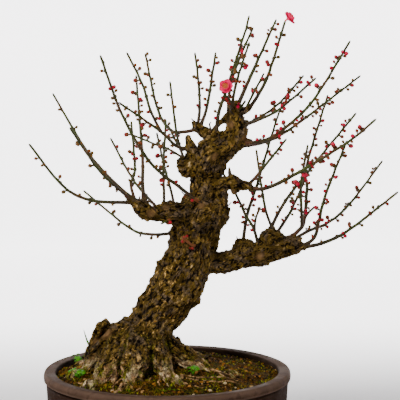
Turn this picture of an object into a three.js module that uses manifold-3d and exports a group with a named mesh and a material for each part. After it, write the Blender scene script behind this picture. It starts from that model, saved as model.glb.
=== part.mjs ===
// Japanese apricot bonsai in a round unglazed clay pot, bare of leaves, in bud, at real size.
// Millimetres, +Z up, front towards -Y. The model is laid out round the pot's axis, with Z = 0
// under its feet, and moved at the end to stand centred on its own base.
import * as THREE from 'three';
import { mergeVertices } from 'three/addons/utils/BufferGeometryUtils.js';
import Module from 'manifold-3d';

const wasm = await Module();
wasm.setup();

// Driving dimensions
const GAP = 0.35;             // clearance between pieces that touch
const TINY = 0.02;            // detail smaller than this is tidied away
const WOOD_DETAIL = 0.3;      // the same for the old wood, before its sockets are cut
const ROUND = 32;             // sides of the pot and of the soil in it

const POT_RADIUS = 172;       // outside of the rim
const POT_HEIGHT = 112;
const LIP_WIDTH = 17;
const LIP_BAND = 13;          // height of the rim band above its groove
const POT_FLOOR = 12;
const FOOT_HEIGHT = 8;
const FOOT_RADIUS = 138;
const FOOT_WIDTH = 20;
const DRAIN_RADIUS = 15;
const DRAIN_CIRCLE = 70;      // distance of the drain holes from the axis
const DRAINS = 3;

const SCREEN_SIDE = 44;
const SCREEN_THICK = 1.6;
const SCREEN_HOLE = 12;
const SCREEN_ROW = 2;         // holes along each side of a screen

const SOIL_EDGE = 103;        // soil level at the wall
const SOIL_RISE = 13;         // how far the mound rises from there to its middle

const BUD_LENGTH = 8.6;       // from the middle of the shoot to the bud's tip
const BUD_WIDTH = 5.4;
const BUD_EVERY = 2;          // of the buds along a shoot, each second one is made
const SHOOT_SIDES = 5;        // buds stand on these sides in turn, two on from the last
const SHOOT_STEP = 48;        // length of one straight piece of a shoot
const TIP_RADIUS = 1.0;

const BLOOM_RADIUS = 10.5;
const PETALS = 5;
const PETAL_THICK = 0.9;
const LEAF_THICK = 0.8;

// Colours
const CLAY = { color: 0x5c4636, roughness: 0.62, metalness: 0 };
const NET = { color: 0x1d1d1c, roughness: 0.6, metalness: 0 };
const EARTH = { color: 0x3d3119, roughness: 0.97, metalness: 0 };
const BARK = { color: 0x4a3a20, roughness: 0.9, metalness: 0 };
const SHOOT = { color: 0x4b4222, roughness: 0.7, metalness: 0 };
const LEAF = { color: 0x55921d, roughness: 0.6, metalness: 0 };
const PETAL = { color: 0xc8143c, roughness: 0.55, metalness: 0 };

const UP = new THREE.Vector3(0, 0, 1);
const DEPTH = new THREE.Vector3(0, 1, 0);
const vec = ([x, y, z]) => new THREE.Vector3(x, y, z);
const fraction = (x) => x - Math.floor(x);

// Solids: a closed three.js geometry becomes a manifold, and a manifold becomes a named mesh

function solid(geometry) {
  const bare = geometry.clone();
  bare.deleteAttribute('normal');
  bare.deleteAttribute('uv');
  const merged = mergeVertices(bare, 1e-4);
  const corners = merged.index.array;
  const triangles = [];
  for (let i = 0; i < corners.length; i += 3) {
    const [a, b, c] = corners.slice(i, i + 3);
    if (a !== b && b !== c && c !== a) triangles.push(a, b, c);
  }
  return new wasm.Manifold(new wasm.Mesh({
    numProp: 3,
    vertProperties: new Float32Array(merged.attributes.position.array),
    triVerts: new Uint32Array(triangles),
  }));
}

const join = (solids) => wasm.Manifold.union(solids);

function mesh(name, body, look) {
  const { numProp, vertProperties, triVerts } = body.simplify(TINY).getMesh();
  const positions = new Float32Array((vertProperties.length / numProp) * 3);
  for (let i = 0; i * numProp < vertProperties.length; i++) {
    positions.set(vertProperties.subarray(i * numProp, i * numProp + 3), i * 3);
  }
  const geometry = new THREE.BufferGeometry();
  geometry.setAttribute('position', new THREE.BufferAttribute(positions, 3));
  geometry.setIndex(new THREE.BufferAttribute(new Uint32Array(triVerts), 1));
  geometry.computeVertexNormals();
  const material = new THREE.MeshStandardMaterial({ ...look, flatShading: true });
  const piece = new THREE.Mesh(geometry, material);
  piece.name = name;
  return piece;
}

// A closed geometry moved to a place, with its own Y axis turned to point along a direction
function planted(geometry, place, direction) {
  const turn = new THREE.Quaternion().setFromUnitVectors(DEPTH, direction.clone().normalize());
  return geometry.applyQuaternion(turn).translate(place.x, place.y, place.z);
}

// Wood: a round bar bent along a curve, with a radius for each place along it and round it

const curveThrough = (points) =>
  new THREE.CatmullRomCurve3(points.map(vec), false, 'catmullrom', 0.5);

// Directions at a place on a curve: along it, sideways as seen from the front, and across both
function frameAt(curve, along) {
  const tangent = curve.getTangentAt(along);
  const side = tangent.clone().cross(DEPTH).normalize();
  return { tangent, side, across: tangent.clone().cross(side) };
}

function bar(curve, radiusAt, sides, steps, extend = 0) {
  const geometry = new THREE.CylinderGeometry(1, 1, 1, sides, steps);
  const spots = geometry.attributes.position;
  for (let i = 0; i < spots.count; i++) {
    const along = 0.5 - spots.getY(i);
    const [x, z] = [spots.getX(i), spots.getZ(i)];
    const radius = radiusAt(along, Math.atan2(x, z));
    const { tangent, side, across } = frameAt(curve, along);
    const place = curve.getPointAt(along)
      .addScaledVector(side, x * radius)
      .addScaledVector(across, z * radius);
    if (along < 0.001) place.addScaledVector(tangent, -extend);
    if (along > 0.999) place.addScaledVector(tangent, extend);
    spots.setXYZ(i, place.x, place.y, place.z);
  }
  return solid(geometry);
}

// A limb of old wood passes through its stations, each a place and a radius. Its surface swells
// and sinks in flutes that wander round it, as deep as `flutes` times the radius.
function limb(stations, { sides = 10, steps = 8, flutes = 0.07, grow = 0 } = {}) {
  const curve = curveThrough(stations);
  const radii = new THREE.CatmullRomCurve3(
    stations.map((station) => new THREE.Vector3(station[3], 0, 0)), false, 'catmullrom', 0.5);
  return bar(curve, (along, angle) => {
    const radius = radii.getPoint(curve.getUtoTmapping(along)).x;
    const wave = Math.sin(3 * angle + 9 * along)
      + 0.8 * Math.sin(5 * angle - 23 * along)
      + 0.6 * Math.sin(2 * angle + 41 * along);
    return radius * (1 + flutes * wave) + grow;
  }, sides, steps, grow);
}

// A knob is a ball of old wood, dented all over; a small one has fewer faces
const SMALL_KNOB = 12;
function knob([x, y, z, radius], grow = 0) {
  const geometry = new THREE.IcosahedronGeometry(1, radius > SMALL_KNOB ? 1 : 0);
  const spots = geometry.attributes.position;
  for (let i = 0; i < spots.count; i++) {
    const spot = new THREE.Vector3().fromBufferAttribute(spots, i);
    const dent = Math.sin(4 * spot.x + x) * Math.sin(5 * spot.y + y) + Math.sin(4 * spot.z + z);
    spot.multiplyScalar(radius * (1 + 0.1 * dent) + grow);
    spots.setXYZ(i, spot.x + x, spot.y + y, spot.z + z);
  }
  return solid(geometry);
}

// Pot: thrown round, with a flat lip over a groove, three feet and three drain holes

function pot() {
  const wall = POT_RADIUS - LIP_WIDTH;
  const groove = POT_HEIGHT - LIP_BAND;
  const profile = [
    [0, FOOT_HEIGHT], [FOOT_RADIUS + 6, FOOT_HEIGHT], [POT_RADIUS - 11, FOOT_HEIGHT + 9],
    [POT_RADIUS - 6, FOOT_HEIGHT + 26], [POT_RADIUS - 3.5, groove - 3], [POT_RADIUS - 4.5, groove],
    [POT_RADIUS - 0.5, groove + 3], [POT_RADIUS, POT_HEIGHT - 5], [POT_RADIUS - 4, POT_HEIGHT],
    [wall + 2, POT_HEIGHT], [wall, POT_HEIGHT - 2], [wall, FOOT_HEIGHT + POT_FLOOR + 12],
    [wall - 10, FOOT_HEIGHT + POT_FLOOR], [0, FOOT_HEIGHT + POT_FLOOR],
  ];
  const bowl = new THREE.LatheGeometry(profile.map(([r, z]) => new THREE.Vector2(r, z)), ROUND);
  const feet = footArcs();
  const drains = drainPlaces().map(({ x, y }) => {
    const hole = new THREE.CylinderGeometry(DRAIN_RADIUS, DRAIN_RADIUS, 2 * POT_FLOOR, 12);
    return solid(hole.rotateX(Math.PI / 2).translate(x, y, FOOT_HEIGHT + POT_FLOOR / 2));
  });
  return join([solid(bowl.rotateX(Math.PI / 2)), ...feet]).subtract(join(drains));
}

function footArcs() {
  const inner = FOOT_RADIUS - FOOT_WIDTH;
  const half = 0.42;
  return [0, 1, 2].map((foot) => {
    const middle = -Math.PI / 2 + foot * (2 * Math.PI / 3);
    const outline = new THREE.Shape();
    outline.absarc(0, 0, FOOT_RADIUS, middle - half, middle + half, false);
    outline.absarc(0, 0, inner, middle + half, middle - half, true);
    return solid(new THREE.ExtrudeGeometry(outline, {
      depth: FOOT_HEIGHT + 2, bevelEnabled: false, curveSegments: 4,
    }));
  });
}

function drainPlaces() {
  return Array.from({ length: DRAINS }, (_, i) => {
    const angle = Math.PI / 2 + i * (2 * Math.PI / DRAINS);
    return { x: DRAIN_CIRCLE * Math.cos(angle), y: DRAIN_CIRCLE * Math.sin(angle) };
  });
}

// Drain screens: squares of plastic net that keep the soil in

function screenPlate({ x, y }, grow = 0) {
  const side = SCREEN_SIDE + 2 * grow;
  const sheet = new THREE.BoxGeometry(side, side, SCREEN_THICK + 2 * grow);
  return solid(sheet.translate(x, y, FOOT_HEIGHT + POT_FLOOR + GAP + SCREEN_THICK / 2));
}

function screen({ x, y }) {
  const pitch = SCREEN_SIDE / (SCREEN_ROW + 0.5);
  const row = Array.from({ length: SCREEN_ROW }, (_, i) => (i - (SCREEN_ROW - 1) / 2) * pitch);
  const holes = row.flatMap((u) => row.map((v) => solid(
    new THREE.BoxGeometry(SCREEN_HOLE, SCREEN_HOLE, 3 * SCREEN_THICK)
      .translate(x + u, y + v, FOOT_HEIGHT + POT_FLOOR + GAP + SCREEN_THICK / 2))));
  return screenPlate({ x, y }).subtract(join(holes));
}

// Soil: a gritty mound that fills the pot and rises to the roots

function soilHeight(x, y) {
  const out = Math.hypot(x, y) / (POT_RADIUS - LIP_WIDTH);
  const lumps = 1.3 * Math.sin(x / 11 + 1) * Math.sin(y / 13) + 0.9 * Math.sin(x / 5.5 - y / 7);
  return SOIL_EDGE + SOIL_RISE * (1 - out * out) + lumps;
}

function soilBlock() {
  const edge = POT_RADIUS - LIP_WIDTH - GAP;
  const bottom = FOOT_HEIGHT + POT_FLOOR + GAP;
  const rings = [1, 0.86, 0.7, 0.52, 0.3, 0];
  const profile = [[0, bottom], [edge - 10.5, bottom], [edge, bottom + 13]]
    .map(([r, z]) => new THREE.Vector2(r, z))
    .concat(rings.map((part) => new THREE.Vector2(edge * part, SOIL_EDGE)));
  const geometry = new THREE.LatheGeometry(profile, ROUND).rotateX(Math.PI / 2);
  const spots = geometry.attributes.position;
  for (let i = 0; i < spots.count; i++) {
    if (spots.getZ(i) > SOIL_EDGE - 1) {
      spots.setZ(i, soilHeight(spots.getX(i), spots.getY(i)));
    }
  }
  return solid(geometry);
}

// Trunk: roots, leaning stem, three old branches, stubs and knobs, grown as one piece

const STEM = [
  [-46, -12, 72, 50], [-42, -12, 106, 49], [-35, -10, 131, 43], [-25, -8, 157, 35],
  [-17, -5, 183, 31], [0, -2, 206, 33], [20, 2, 239, 35], [27, 4, 256, 34], [33, 6, 272, 31],
  [37, 8, 288, 27], [38, 8, 303, 29], [45, 8, 320, 33], [52, 8, 336, 35], [57, 8, 351, 31],
  [54, 6, 365, 24], [51, 4, 379, 19], [55, 2, 393, 25], [60, 0, 407, 29], [71, 0, 420, 23],
  [84, -2, 425, 19], [94, -3, 434, 17], [96, -3, 446, 14], [94, -1, 459, 12], [95, 0, 472, 10],
  [95, 0, 481, 6],
];
const ROOTS = [
  [[-48, -8, 172, 28], [-76, -8, 156, 25], [-94, -12, 130, 18], [-108, -16, 113, 12],
    [-116, -22, 97, 8]],
  [[-58, -24, 150, 24], [-74, -48, 128, 19], [-88, -72, 112, 13], [-94, -86, 98, 8]],
  [[-40, -34, 150, 22], [-42, -60, 128, 18], [-46, -84, 112, 12], [-48, -98, 98, 7]],
  [[-14, -26, 150, 20], [-6, -50, 127, 15], [4, -72, 111, 10], [10, -84, 98, 7]],
  [[0, -8, 148, 20], [24, -10, 130, 15], [48, -16, 117, 11], [70, -26, 104, 7], [80, -34, 96, 5]],
  [[-10, 18, 148, 20], [10, 42, 126, 15], [28, 64, 110, 9], [34, 74, 98, 6]],
  [[-46, 26, 150, 22], [-56, 56, 128, 16], [-64, 82, 110, 9], [-68, 94, 98, 6]],
  [[-74, 14, 150, 22], [-98, 30, 126, 15], [-114, 40, 108, 9], [-120, 46, 96, 6]],
];
const BRANCHES = {
  left: [[43, 4, 328, 20], [23, -2, 330, 18], [4, -10, 330, 17], [-11, -16, 329, 12],
    [-23, -22, 331, 10], [-34, -28, 337, 11], [-41, -32, 343, 8], [-48, -35, 351, 6],
    [-56, -36, 359, 4.5]],
  right: [[40, 6, 260, 20], [59, 8, 260, 16], [80, 12, 260, 15], [102, 16, 265, 17],
    [124, 20, 270, 18], [141, 22, 277, 18], [158, 25, 278, 15], [174, 27, 281, 14],
    [184, 28, 281, 9], [195, 29, 279, 5]],
  middle: [[59, 0, 364, 17], [76, -10, 370, 12], [89, -18, 372, 10], [103, -24, 371, 8],
    [111, -27, 368, 8], [117, -28, 366, 5]],
  crown: [[65, 4, 414, 17], [62, 10, 428, 13], [55, 15, 439, 10], [47, 19, 445, 9],
    [40, 20, 449, 7], [36, 20, 457, 5]],
};
const STUBS = [
  [[45, -2, 406, 12], [34, -8, 417, 8], [29, -12, 427, 7], [28, -14, 437, 4.5]],
  [[55, 12, 436, 6], [65, 6, 446, 4.5], [76, 6, 457, 4.5], [87, 3, 467, 6]],
  [[98, 0, 467, 8], [107, -4, 472, 6], [115, -6, 475, 4]],
  [[89, -18, 370, 7], [91, -27, 363, 5], [92, -34, 358, 4]],
  [[88, -18, 376, 4], [86, -20, 385, 3], [85, -21, 394, 2]],
];
const KNOBS = [
  [27, -4, 394, 15], [5, -8, 340, 10], [-35, -29, 344, 7], [-27, -24, 326, 7], [107, 13, 277, 17],
  [147, 19, 290, 18], [172, 24, 283, 15], [95, 0, 475, 9], [112, -4, 427, 7], [105, 2, 453, 7],
  [-9, 0, 258, 9], [112, -27, 370, 8], [26, -14, 250, 22], [-13, -18, 190, 21], [52, -8, 335, 27],
  [46, 20, 322, 26], [12, 16, 236, 26], [-28, 8, 168, 31], [72, 12, 414, 19],
];

function rootedWood(grow = 0) {
  return [
    limb(STEM, { sides: 12, steps: 22, flutes: 0.09, grow }),
    ...ROOTS.map((root) => limb(root, { sides: 6, steps: 4, flutes: 0.1, grow })),
    ...KNOBS.map((place) => knob(place, grow)),
  ];
}

function trunkBody() {
  return join([
    ...rootedWood(),
    limb(BRANCHES.left, { sides: 8, steps: 8 }),
    limb(BRANCHES.right, { sides: 9, steps: 9 }),
    limb(BRANCHES.middle, { sides: 8, steps: 5 }),
    limb(BRANCHES.crown, { sides: 8, steps: 5 }),
    ...STUBS.map((stub) => limb(stub, { sides: 6, steps: 2 })),
  ]);
}

// Shoots: last summer's straight growth. Each line gives the radius at the base, the mean
// distance between buds and the route. A shoot starts in a socket in the old wood.

const SHOOTS = {
  left_01: [2.4, 21, [[-44, -34, 346], [-101, -56, 351], [-137, -70, 372], [-176, -94, 426]]],
  left_02: [2.2, 20, [[18, 2, 302], [-25, 10, 299], [-56, 24, 308], [-122, 60, 357]]],
  left_03: [2.9, 24, [[-51, -32, 354], [-86, -20, 387], [-115, -4, 422], [-160, 20, 495]]],
  left_04: [1.9, 18, [[-50, -38, 352], [-85, -90, 391], [-118, -136, 447]]],
  left_05: [2.1, 14, [[-42, -29, 346], [-49, -20, 370], [-44, -12, 392], [-50, 8, 456]]],
  left_06: [2.6, 17, [[-29, -26, 342], [-33, -20, 370], [-34, -8, 412], [-45, 42, 521]]],
  left_07: [2.6, 17, [[55, -14, 338], [19, -46, 367], [-20, -76, 402], [-54, -114, 464],
    [-79, -140, 537]]],
  left_08: [1.9, 17, [[-4, -17, 338], [-4, -16, 362], [-5, -8, 396], [-2, 10, 458]]],
  left_09: [1.9, 15, [[10, 0, 339], [4, 10, 364], [-5, 22, 395], [-16, 44, 440]]],
  left_10: [2.4, 17, [[31, -11, 418], [13, -26, 423], [-8, -46, 443], [-60, -84, 480]]],
  left_11: [2.4, 15, [[43, 18, 446], [23, 26, 442], [3, 44, 445], [-16, 66, 476],
    [-35, 104, 556]]],
  left_12: [1.8, 20, [[24, 2, 402], [18, 6, 420], [12, 8, 446], [4, 6, 511]]],
  left_13: [1.8, 17, [[29, 4, 401], [4, 32, 416], [-19, 62, 424], [-53, 98, 437]]],
  top_01: [2.2, 17, [[42, 22, 450], [45, 38, 476], [43, 62, 516], [38, 86, 556]]],
  top_02: [2.3, 15, [[46, 17, 449], [55, 16, 476], [62, 12, 518], [67, 6, 551]]],
  top_03: [2.8, 14, [[67, -2, 432], [71, -14, 468], [81, -28, 498], [104, -54, 571],
    [110, -62, 594]]],
  top_04: [2.1, 14, [[88, -6, 466], [92, -30, 497], [98, -58, 522], [109, -90, 557]]],
  top_05: [2.4, 15, [[84, 2, 456], [87, 22, 500], [99, 36, 540], [121, 60, 590]]],
  top_06: [2.9, 16, [[96, 2, 475], [109, 12, 504], [124, 24, 537], [153, 46, 600]]],
  top_07: [2.5, 14, [[112, -5, 473], [124, -18, 491], [138, -36, 521], [157, -70, 587]]],
  right_01: [2.0, 15, [[101, 6, 450], [127, 32, 461], [159, 62, 483], [197, 100, 524]]],
  right_02: [2.0, 15, [[103, -2, 450], [125, -12, 458], [155, -22, 474], [201, -36, 514]]],
  right_03: [2.5, 16, [[105, 16, 284], [113, 32, 327], [127, 52, 366], [153, 84, 447],
    [165, 92, 481]]],
  right_04: [2.6, 15, [[100, -7, 425], [137, -32, 432], [169, -56, 456], [197, -78, 488],
    [236, -114, 557]]],
  right_05: [2.4, 15, [[97, 5, 421], [137, 24, 428], [178, 46, 449], [281, 104, 524]]],
  right_06: [2.7, 14, [[172, 24, 292], [183, 22, 302], [192, 24, 316], [199, 56, 361],
    [201, 78, 394], [235, 118, 496]]],
  right_08: [2.7, 14, [[112, -27, 366], [133, -42, 366], [168, -68, 384], [235, -110, 429],
    [268, -126, 458]]],
  right_09: [2.4, 15, [[141, 10, 300], [159, 12, 336], [185, 16, 372], [265, 32, 468]]],
  right_10: [2.6, 14, [[187, 24, 279], [205, 10, 294], [210, -6, 320], [217, -24, 357],
    [240, -62, 430]]],
  right_11: [2.5, 15, [[175, 29, 288], [200, 46, 300], [233, 72, 311], [267, 96, 337],
    [319, 130, 398]]],
  right_12: [2.7, 15, [[189, 31, 278], [220, 22, 286], [255, 10, 306], [318, -8, 359]]],
  right_13: [2.1, 15, [[111, -20, 369], [122, -22, 381], [137, -24, 400], [163, -20, 432]]],
  right_14: [2.0, 15, [[148, 18, 304], [138, 12, 330], [131, 2, 364], [123, -4, 417]]],
  right_15: [2.2, 16, [[128, 12, 279], [120, 2, 308], [109, 6, 326], [98, 26, 350], [77, 50, 385]]],
  back_01: [2.3, 17, [[52, 34, 336], [28, 72, 392], [-2, 104, 452]]],
  back_02: [2.4, 16, [[78, 24, 414], [104, 66, 462], [140, 118, 528]]],
  back_03: [2.3, 16, [[152, 28, 296], [180, 82, 330], [216, 142, 398]]],
  back_04: [2.2, 18, [[-8, -8, 331], [-50, 62, 372], [-88, 122, 432]]],
  spur_01: [2.2, 9, [[42, -14, 284], [32, -32, 290], [22, -44, 300]]],
  spur_02: [2.0, 8, [[8, -18, 324], [-2, -30, 320], [-7, -38, 318]]],
  spur_03: [1.9, 8, [[92, -3, 478], [86, -10, 485], [80, -15, 492]]],
  spur_04: [1.9, 8, [[98, -4, 472], [103, -15, 478], [107, -22, 484]]],
};
// Side shoots, each fused to the shoot that it forks from. The first number says how far along
// that shoot it starts.
const FORKS = {
  left_10: [[0.44, 2.0, 14, [[-21, -54, 472], [-31, -58, 505], [-51, -62, 546]]]],
  right_06: [
    [0.1, 2.2, 13, [[186, 2, 339], [184, -14, 371], [191, -34, 424]]],
    [0.16, 1.6, 9, [[199, 18, 330], [206, 10, 338]]],
  ],
  right_15: [[0.22, 1.6, 10, [[123, -6, 324], [128, -14, 338]]]],
};

const shootSteps = (curve) => Math.max(3, Math.round(curve.getLength() / SHOOT_STEP));

function shootBar([radius, , route], grow = 0) {
  const curve = curveThrough(route);
  const taper = (along) => radius + (TIP_RADIUS - radius) * along + grow;
  return bar(curve, taper, SHOOT_SIDES, shootSteps(curve), grow);
}

// The middle of a shoot's straight piece, which runs a little inside the curve's bends
function middleOf(curve, along) {
  const ring = Math.min(shootSteps(curve) - 1, Math.floor(along * shootSteps(curve)));
  const [from, to] = [ring, ring + 1].map((n) => curve.getPointAt(n / shootSteps(curve)));
  return from.lerp(to, along * shootSteps(curve) - ring);
}

// A shoot's own line, then the lines of its forks
function linesOf(name) {
  const curve = curveThrough(SHOOTS[name][2]);
  const forks = (FORKS[name] ?? []).map(([from, radius, spacing, route]) =>
    [radius, spacing, [middleOf(curve, from).toArray(), ...route]]);
  return [SHOOTS[name], ...forks];
}

// A bud is a pointed drop whose narrow foot is sunk in the shoot
function bud(place, direction, size) {
  const drop = [[0, 0], [BUD_WIDTH / 2, 0.6 * BUD_LENGTH], [0, BUD_LENGTH]];
  const profile = drop.map(([r, y]) => new THREE.Vector2(r * size, y * size));
  return solid(planted(new THREE.LatheGeometry(profile, 4), place, direction));
}

function buds([, spacing, route], tipBud) {
  const curve = curveThrough(route);
  const length = curve.getLength();
  const clear = Math.min(30, 0.4 * length);
  const count = Math.floor((length - clear) / spacing);
  const end = curve.getTangentAt(1);
  const list = tipBud ? [bud(curve.getPointAt(1).addScaledVector(end, -2), end, 0.8)] : [];
  for (let k = 0; k < count; k += BUD_EVERY) {
    const along = (clear + spacing * (k + 0.5 * fraction(0.755 * k))) / length;
    const { tangent, side, across } = frameAt(curve, along);
    const angle = (2 * k + 0.5) * (2 * Math.PI / SHOOT_SIDES);
    const outward = side.multiplyScalar(Math.sin(angle)).addScaledVector(across, Math.cos(angle));
    list.push(bud(middleOf(curve, along), outward.addScaledVector(tangent, 0.45),
      0.8 + 0.35 * fraction(0.618 * k)));
  }
  return list;
}

function shoot(name) {
  const tipBud = !Object.values(BLOOMS).some(({ on, along }) => on === name && along === 1);
  return join(linesOf(name).flatMap((line) => [shootBar(line), ...buds(line, tipBud)]));
}

// Blooms: five cupped petals round a boss of stamens, on a short calyx that meets its shoot.
// The seat is the distance from the shoot's middle, or its end, to the foot of the calyx.

const BLOOMS = {
  bloom_top: { on: 'top_03', along: 0.43, seat: 2.9, faces: [-0.25, -0.95, 0.2] },
  bloom_tip: { on: 'top_07', along: 1, seat: 1.3, faces: [0.75, -0.4, 0.55] },
};

function petal(angle) {
  const radius = 0.42 * BLOOM_RADIUS;
  const geometry = new THREE.CylinderGeometry(1, 1, PETAL_THICK, 7, 1);
  const spots = geometry.attributes.position;
  for (let i = 0; i < spots.count; i++) {
    const [x, z] = [spots.getX(i), spots.getZ(i)];
    const cup = 1.6 * (x * x + z * z);
    spots.setXYZ(i, x * radius, spots.getY(i) + cup, z * radius * (0.85 + 0.25 * x));
  }
  return solid(geometry.rotateZ(0.35).translate(BLOOM_RADIUS - radius, 4.2, 0).rotateY(angle));
}

function bloom({ on, along, seat, faces }) {
  const [, , route] = SHOOTS[on];
  const curve = curveThrough(route);
  const facing = vec(faces).normalize();
  const foot = middleOf(curve, along).addScaledVector(facing, seat);
  const calyx = [[0, 0], [1.2, 0], [3.4, 4.4], [2.4, 6.8], [0, 7.6]];
  const core = new THREE.LatheGeometry(calyx.map(([r, y]) => new THREE.Vector2(r, y)), 5);
  const petals = Array.from({ length: PETALS }, (_, i) => petal(i * (2 * Math.PI / PETALS)));
  const flower = join([solid(core), ...petals]);
  const turn = new THREE.Quaternion().setFromUnitVectors(DEPTH, facing);
  const placed = new THREE.Matrix4().compose(foot, turn, new THREE.Vector3(1, 1, 1));
  return flower.transform(placed.elements);
}

// Weeds: wood sorrel with three-part leaves, and one blade of grass, each on a root in the soil

const WEEDS = {
  sorrel_back: { x: -129, y: 58, leaves: 3, reach: 15, turn: 0.3 },
  sorrel_front: { x: -120, y: -44, leaves: 3, reach: 13, turn: 1.1 },
  sorrel_right: { x: 36, y: -48, leaves: 2, reach: 11, turn: 2.0 },
};
const GRASS = { x: -104, y: 72, route: [[0, 0, -6], [0, 0, 5], [-6, -4, 28], [-20, -9, 46]] };

const onSoil = ({ x, y }, height) => new THREE.Vector3(x, y, soilHeight(x, y) + height);
const peg = (place, grow = 0) => solid(planted(
  new THREE.CylinderGeometry(1.3 + grow, 1.3 + grow, 9 + 2 * grow, 6), onSoil(place, -2.5), UP));

function sorrelLeaf(centre, tilt, turn) {
  const points = [];
  for (let i = 0; i < 3; i++) {
    const angle = turn + i * (2 * Math.PI / 3);
    const edge = [[1.3, -1.04], [6.2, -0.5], [5.4, 0], [6.2, 0.5]];
    for (const [r, a] of edge) {
      const place = [r * Math.cos(angle + a), r * Math.sin(angle + a)];
      points.push(new THREE.Vector2(...place));
    }
  }
  const outline = new THREE.Shape(points);
  const leaf = new THREE.ExtrudeGeometry(outline, { depth: LEAF_THICK, bevelEnabled: false });
  leaf.rotateX(-Math.PI / 2);
  return solid(planted(leaf, centre, tilt));
}

function sorrel(place) {
  const base = onSoil(place, 1.2);
  const parts = [peg(place)];
  for (let i = 0; i < place.leaves; i++) {
    const angle = place.turn + i * (2 * Math.PI / place.leaves);
    const out = new THREE.Vector3(Math.cos(angle), Math.sin(angle), 0);
    const height = place.reach * (0.75 + 0.3 * fraction(0.618 * i));
    const knee = base.clone().addScaledVector(out, 0.35 * place.reach)
      .addScaledVector(UP, 0.6 * height);
    const tip = base.clone().addScaledVector(out, 0.65 * place.reach).addScaledVector(UP, height);
    const stalk = curveThrough([base, knee, tip].map((spot) => spot.toArray()));
    parts.push(bar(stalk, () => 0.8, 3, 2));
    const under = tip.clone().addScaledVector(UP, -LEAF_THICK / 2);
    parts.push(sorrelLeaf(under, out.multiplyScalar(0.4).add(UP), angle));
  }
  return join(parts);
}

function grass() {
  const route = GRASS.route.map(([x, y, z]) => onSoil(GRASS, z).add(new THREE.Vector3(x, y, 0)));
  const curve = curveThrough(route.map((spot) => spot.toArray()));
  return bar(curve, (along) => 1.2 - 0.6 * along, 5, 6);
}

// The whole object: wood cut for its shoots, soil cut for the wood and for the weeds' roots

const names = Object.keys(SHOOTS);
const wood = trunkBody().simplify(WOOD_DETAIL);
const sockets = join(names.flatMap((name) => linesOf(name).map((line) => shootBar(line, GAP))));
const trunk = wood.subtract(sockets);
const grassHole = bar(curveThrough([onSoil(GRASS, -6), onSoil(GRASS, 3)]
  .map((spot) => spot.toArray())), () => 1.2 + 2 * GAP, 6, 1, GAP);
const soil = soilBlock().subtract(join([
  ...rootedWood(GAP), grassHole,
  ...drainPlaces().map((place) => screenPlate(place, GAP)),
  ...Object.values(WEEDS).map((place) => peg(place, GAP)),
]));

const bonsai = new THREE.Group();
bonsai.add(mesh('pot', pot(), CLAY));
drainPlaces().forEach((place, i) => bonsai.add(mesh(`drain_screen_${i + 1}`, screen(place), NET)));
bonsai.add(mesh('soil', soil, EARTH));
bonsai.add(mesh('trunk', trunk, BARK));
for (const name of names) bonsai.add(mesh(`shoot_${name}`, shoot(name), SHOOT));
for (const [name, place] of Object.entries(BLOOMS)) bonsai.add(mesh(name, bloom(place), PETAL));
for (const [name, place] of Object.entries(WEEDS)) bonsai.add(mesh(name, sorrel(place), LEAF));
bonsai.add(mesh('grass_blade', grass(), LEAF));

// The origin is at the middle of the base of the whole object's box
const box = new THREE.Box3().setFromObject(bonsai);
const middle = box.getCenter(new THREE.Vector3());
bonsai.position.set(-middle.x, -middle.y, -box.min.z);
bonsai.updateMatrixWorld(true);

export default bonsai;
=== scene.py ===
# A Japanese apricot bonsai in its round clay pot, bare of leaves and in bud at the end of winter.
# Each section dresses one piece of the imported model, or one group of like pieces, in metres.
import math

import bmesh
import bpy
import numpy as np
from mathutils import Matrix, Vector, noise
from mathutils.bvhtree import BVHTree


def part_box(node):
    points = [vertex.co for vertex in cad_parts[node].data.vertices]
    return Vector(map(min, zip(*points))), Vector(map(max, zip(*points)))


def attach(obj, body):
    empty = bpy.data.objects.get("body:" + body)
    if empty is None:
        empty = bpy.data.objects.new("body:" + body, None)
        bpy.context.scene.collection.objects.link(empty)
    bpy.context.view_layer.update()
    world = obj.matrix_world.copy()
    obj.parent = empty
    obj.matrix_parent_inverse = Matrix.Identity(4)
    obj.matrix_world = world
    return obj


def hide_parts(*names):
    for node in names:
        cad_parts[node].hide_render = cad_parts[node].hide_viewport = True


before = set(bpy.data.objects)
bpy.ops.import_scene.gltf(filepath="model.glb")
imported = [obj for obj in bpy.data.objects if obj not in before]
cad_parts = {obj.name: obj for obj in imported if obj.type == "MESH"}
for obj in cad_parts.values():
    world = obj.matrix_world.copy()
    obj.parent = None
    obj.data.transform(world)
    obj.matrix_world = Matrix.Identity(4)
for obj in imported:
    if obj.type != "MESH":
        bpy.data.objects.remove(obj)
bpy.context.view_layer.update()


# Pot
# One piece of unglazed brown stoneware, thrown on a wheel. A broad lip stands out over a turned
# groove, the wall is nearly upright, and three low feet lift the drain holes off the surface.
MM = 0.001
pot_low, pot_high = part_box("pot")
POT_X = (pot_low.x + pot_high.x) / 2
AXIS = Vector((POT_X, 0, 0))
POT_RADIUS = (pot_high.x - pot_low.x) / 2 / MM
POT_HEIGHT = pot_high.z / MM
LIP_WIDTH = 17
LIP_BAND = 13
INNER_RADIUS = POT_RADIUS - LIP_WIDTH
GROOVE_HEIGHT = POT_HEIGHT - LIP_BAND
FOOT_HEIGHT = 8
FOOT_SUNK = 2
FOOT_OUTER = 138
FOOT_INNER = 118
FOOT_HALF_ANGLE = 0.42
FOOT_STEPS = 14
FLOOR_TOP = 20
DRAIN_RADIUS = 15
DRAIN_CIRCLE = 70
DRAIN_SIDES = 40
DRILL_SPARE = 6
POT_SIDES = 168


def paint(red, green, blue):
    """A colour as a screen shows it, 0 to 255, in the linear values that shaders take."""
    def linear(level):
        share = level / 255
        return share / 12.92 if share <= 0.04045 else ((share + 0.055) / 1.055) ** 2.4
    return (linear(red), linear(green), linear(blue), 1.0)


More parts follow.
